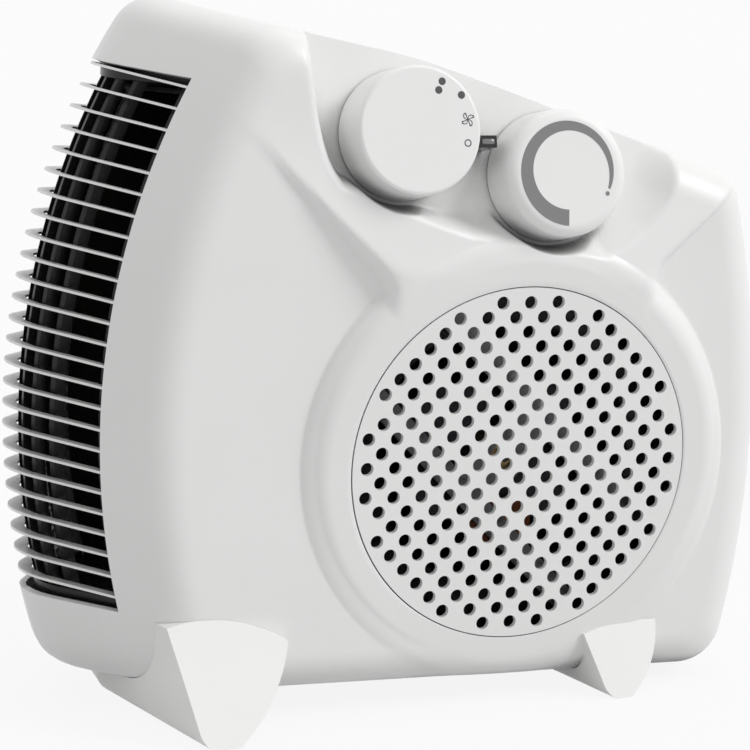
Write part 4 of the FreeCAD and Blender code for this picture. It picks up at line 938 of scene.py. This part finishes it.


# Finishes
# The casing white takes painted shade in its narrow gaps, such as beside the knobs
SHELL_WHITE = plastic("shell_white", (0.86, 0.86, 0.855, 1), gap_shade_reach=0.016)
GRILLE_WHITE = plastic("grille_white", (0.87, 0.87, 0.865, 1), gloss=(0.32, 0.42))
FOOT_WHITE = plastic("foot_white", (0.87, 0.87, 0.86, 1))
KNOB_WHITE = plastic("knob_white", (0.88, 0.88, 0.875, 1), gloss=(0.36, 0.46), dust=0.05)
GUARD_BLACK = plastic("guard_black", (0.012, 0.012, 0.013, 1), gloss=(0.2, 0.32), cloud=0.2, dust=0.03,
                      shine=0.28)
LENS_BLACK = plastic("lens_black", (0.01, 0.01, 0.011, 1), gloss=(0.08, 0.16), cloud=0.1, dust=0.0)
WINDOW_GREY = plastic("window_grey", (0.2, 0.2, 0.205, 1), gloss=(0.05, 0.12), cloud=0.3, dust=0.0)
LAMP_AMBER = plastic("lamp_amber", (0.75, 0.25, 0.06, 1), gloss=(0.1, 0.2), dust=0.0)
WHEEL_BLACK = plastic("wheel_black", (0.014, 0.014, 0.015, 1), gloss=(0.35, 0.5), dust=0.03, shine=0.25)
SWITCH_CREAM = plastic("switch_cream", (0.6, 0.57, 0.48, 1), gloss=(0.4, 0.55))
MICA_BROWN = plastic("mica_brown", (0.42, 0.32, 0.2, 1), gloss=(0.25, 0.5), cloud=1.0, grain=500.0)
STEEL = metal("zinc_steel", (0.72, 0.73, 0.74, 1), (0.5, 0.51, 0.52, 1), 900.0)
LAMINATIONS = metal("stacked_laminations", (0.2, 0.2, 0.21, 1), (0.04, 0.04, 0.045, 1), 620.0)
WINDING = metal("enamelled_winding", (0.14, 0.055, 0.03, 1), (0.05, 0.02, 0.012, 1), 1500.0)
BRONZE = metal("sintered_bronze", (0.7, 0.5, 0.25, 1), (0.45, 0.3, 0.13, 1), 800.0)
# Steel of the parts inside the case, darkened as painted shade so that it reads dark behind the intake
# holes; the bracket keeps a little more brightness than the screws and rotor
BRACKET_STEEL = metal("bracket_steel", (0.24, 0.24, 0.25, 1), (0.1, 0.1, 0.105, 1), 700.0)
SHADE_DARKENED_STEEL = metal("shade_darkened_steel", (0.1, 0.1, 0.105, 1), (0.05, 0.05, 0.052, 1), 700.0)
RIBBON = metal("heating_ribbon", (0.5, 0.47, 0.45, 1), (0.2, 0.18, 0.2, 1), 300.0)
INK = plastic("dark_ink", (0.075, 0.074, 0.076, 1), gloss=(0.4, 0.5), cloud=0.3, dust=0.0)
GREY_INK = plastic("grey_ink", (0.22, 0.218, 0.218, 1), gloss=(0.4, 0.5), cloud=0.3, dust=0.0)

FINISHES = {
    "casing": SHELL_WHITE, "intake": GRILLE_WHITE, "feet": FOOT_WHITE, "knobs": KNOB_WHITE,
    "guard": GUARD_BLACK, "lens": LENS_BLACK, "lamp": LAMP_AMBER, "wheel": WHEEL_BLACK, "steel": STEEL,
    "laminations": LAMINATIONS, "winding": WINDING, "bronze": BRONZE, "switchgear": SWITCH_CREAM,
    "mica": MICA_BROWN, "ribbon": RIBBON,
}
# Motor parts inside the case take the steel darkened as painted shade
OWN_FINISHES = {"motor_bracket": BRACKET_STEEL, "motor_screws": SHADE_DARKENED_STEEL, "motor_rotor": SHADE_DARKENED_STEEL}


def dress_nodes():
    """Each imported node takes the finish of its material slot, or its own one."""
    for name, node in frame["nodes"].items():
        for place in node.material_slots:
            slot_name = place.material.name.split(".")[0]
            place.material = OWN_FINISHES.get(name) or FINISHES.get(slot_name, SHELL_WHITE)


def soften_feet():
    """Moulded feet have small rounds on their outer edges."""
    for name in ("outlet_foot", "tail_foot"):
        soft = frame["nodes"][name].modifiers.new("soft_edge", "BEVEL")
        soft.width = FOOT_ROUND * MM
        soft.segments = FOOT_ROUND_STEPS
        soft.limit_method = "ANGLE"
        soft.angle_limit = math.radians(FOOT_ROUND_OVER)


dress_nodes()
soften_feet()
front_shell(SHELL_WHITE)
lens_window(WINDOW_GREY)
mode_marks(knob_face("mode_knob_turn", "mode_knob"), INK)
thermostat_marks(knob_face("thermostat_knob_turn", "thermostat_knob"), GREY_INK)


# Studio

def add_camera():
    """Camera at the photograph's place, built from its looking and sideways directions."""
    world = casing_to_world()
    turn = world.to_3x3()
    look = (turn @ LOOK).normalized()
    side = (turn @ SIDE).normalized()
    up = side.cross(look).normalized()
    data = bpy.data.cameras.new("camera")
    data.lens = FOCAL
    data.sensor_width = SENSOR
    data.clip_start = CLIP_NEAR
    camera = bpy.data.objects.new("camera", data)
    bpy.context.scene.collection.objects.link(camera)
    camera.matrix_world = Matrix.Translation(world @ EYE) @ Matrix((side, up, -look)).transposed().to_4x4()
    bpy.context.scene.camera = camera


def seen_directly(tree):
    """One for camera, mirror and glass rays, nought for rays that light the object."""
    path = tree.nodes.new("ShaderNodeLightPath")
    share = math_node(tree, "MAXIMUM", path.outputs["Is Camera Ray"], path.outputs["Is Glossy Ray"])
    return math_node(tree, "MAXIMUM", share, path.outputs["Is Transmission Ray"])


def mix_shaders(tree, share, first, second, output):
    """Two shaders mixed by a share and joined to the output."""
    mix = tree.nodes.new("ShaderNodeMixShader")
    wire(tree, share, mix.inputs[0])
    wire(tree, first.outputs[0], mix.inputs[1])
    wire(tree, second.outputs[0], mix.inputs[2])
    wire(tree, mix.outputs[0], output.inputs["Surface"])


def add_floor():
    """Pale floor under the feet that reads as a white sheet and keeps a faint shadow."""
    mesh = bpy.data.meshes.new("floor")
    low = float(cad_box[0][2])
    corners = [(-FLOOR_REACH, -FLOOR_REACH, low), (FLOOR_REACH, -FLOOR_REACH, low),
               (FLOOR_REACH, FLOOR_REACH, low), (-FLOOR_REACH, FLOOR_REACH, low)]
    mesh.from_pydata(corners, [], [(0, 1, 2, 3)])
    floor = bpy.data.objects.new("floor", mesh)
    bpy.context.scene.collection.objects.link(floor)
    material, tree, shader = start_material("floor_white")
    shader.inputs["Base Color"].default_value = FLOOR_TINT
    shader.inputs["Roughness"].default_value = FLOOR_ROUGH
    glow = add_node(tree, "ShaderNodeEmission", Strength=FLOOR_GLOW)
    output = next(n for n in tree.nodes if n.type == "OUTPUT_MATERIAL")
    share = math_node(tree, "MULTIPLY", seen_directly(tree), FLOOR_GLOW_SHARE)
    mix_shaders(tree, share, shader, glow, output)
    mesh.materials.append(material)


def add_world():
    """White backdrop for what is seen, an even soft grey for what lights the object."""
    world = bpy.data.worlds.new("studio")
    bpy.context.scene.world = world
    world.use_nodes = True
    tree = world.node_tree
    tree.nodes.clear()
    soft = add_node(tree, "ShaderNodeBackground", Color=(1, 1, 1, 1), Strength=WORLD_SOFT)
    white = add_node(tree, "ShaderNodeBackground", Color=(1, 1, 1, 1), Strength=WORLD_WHITE)
    mix_shaders(tree, seen_directly(tree), soft, white, tree.nodes.new("ShaderNodeOutputWorld"))


def add_lamp(name, direction, strength, spread):
    """Broad distant lamp that shines from a direction."""
    data = bpy.data.lights.new(name, "SUN")
    data.energy = strength
    data.angle = math.radians(spread)
    lamp = bpy.data.objects.new(name, data)
    bpy.context.scene.collection.objects.link(lamp)
    lamp.rotation_euler = Vector(direction).to_track_quat("Z", "Y").to_euler()


add_camera()
add_floor()
add_world()
for lamp_name, lamp in LAMPS.items():
    add_lamp(lamp_name, *lamp)
bpy.context.scene.view_settings.view_transform = "Standard"
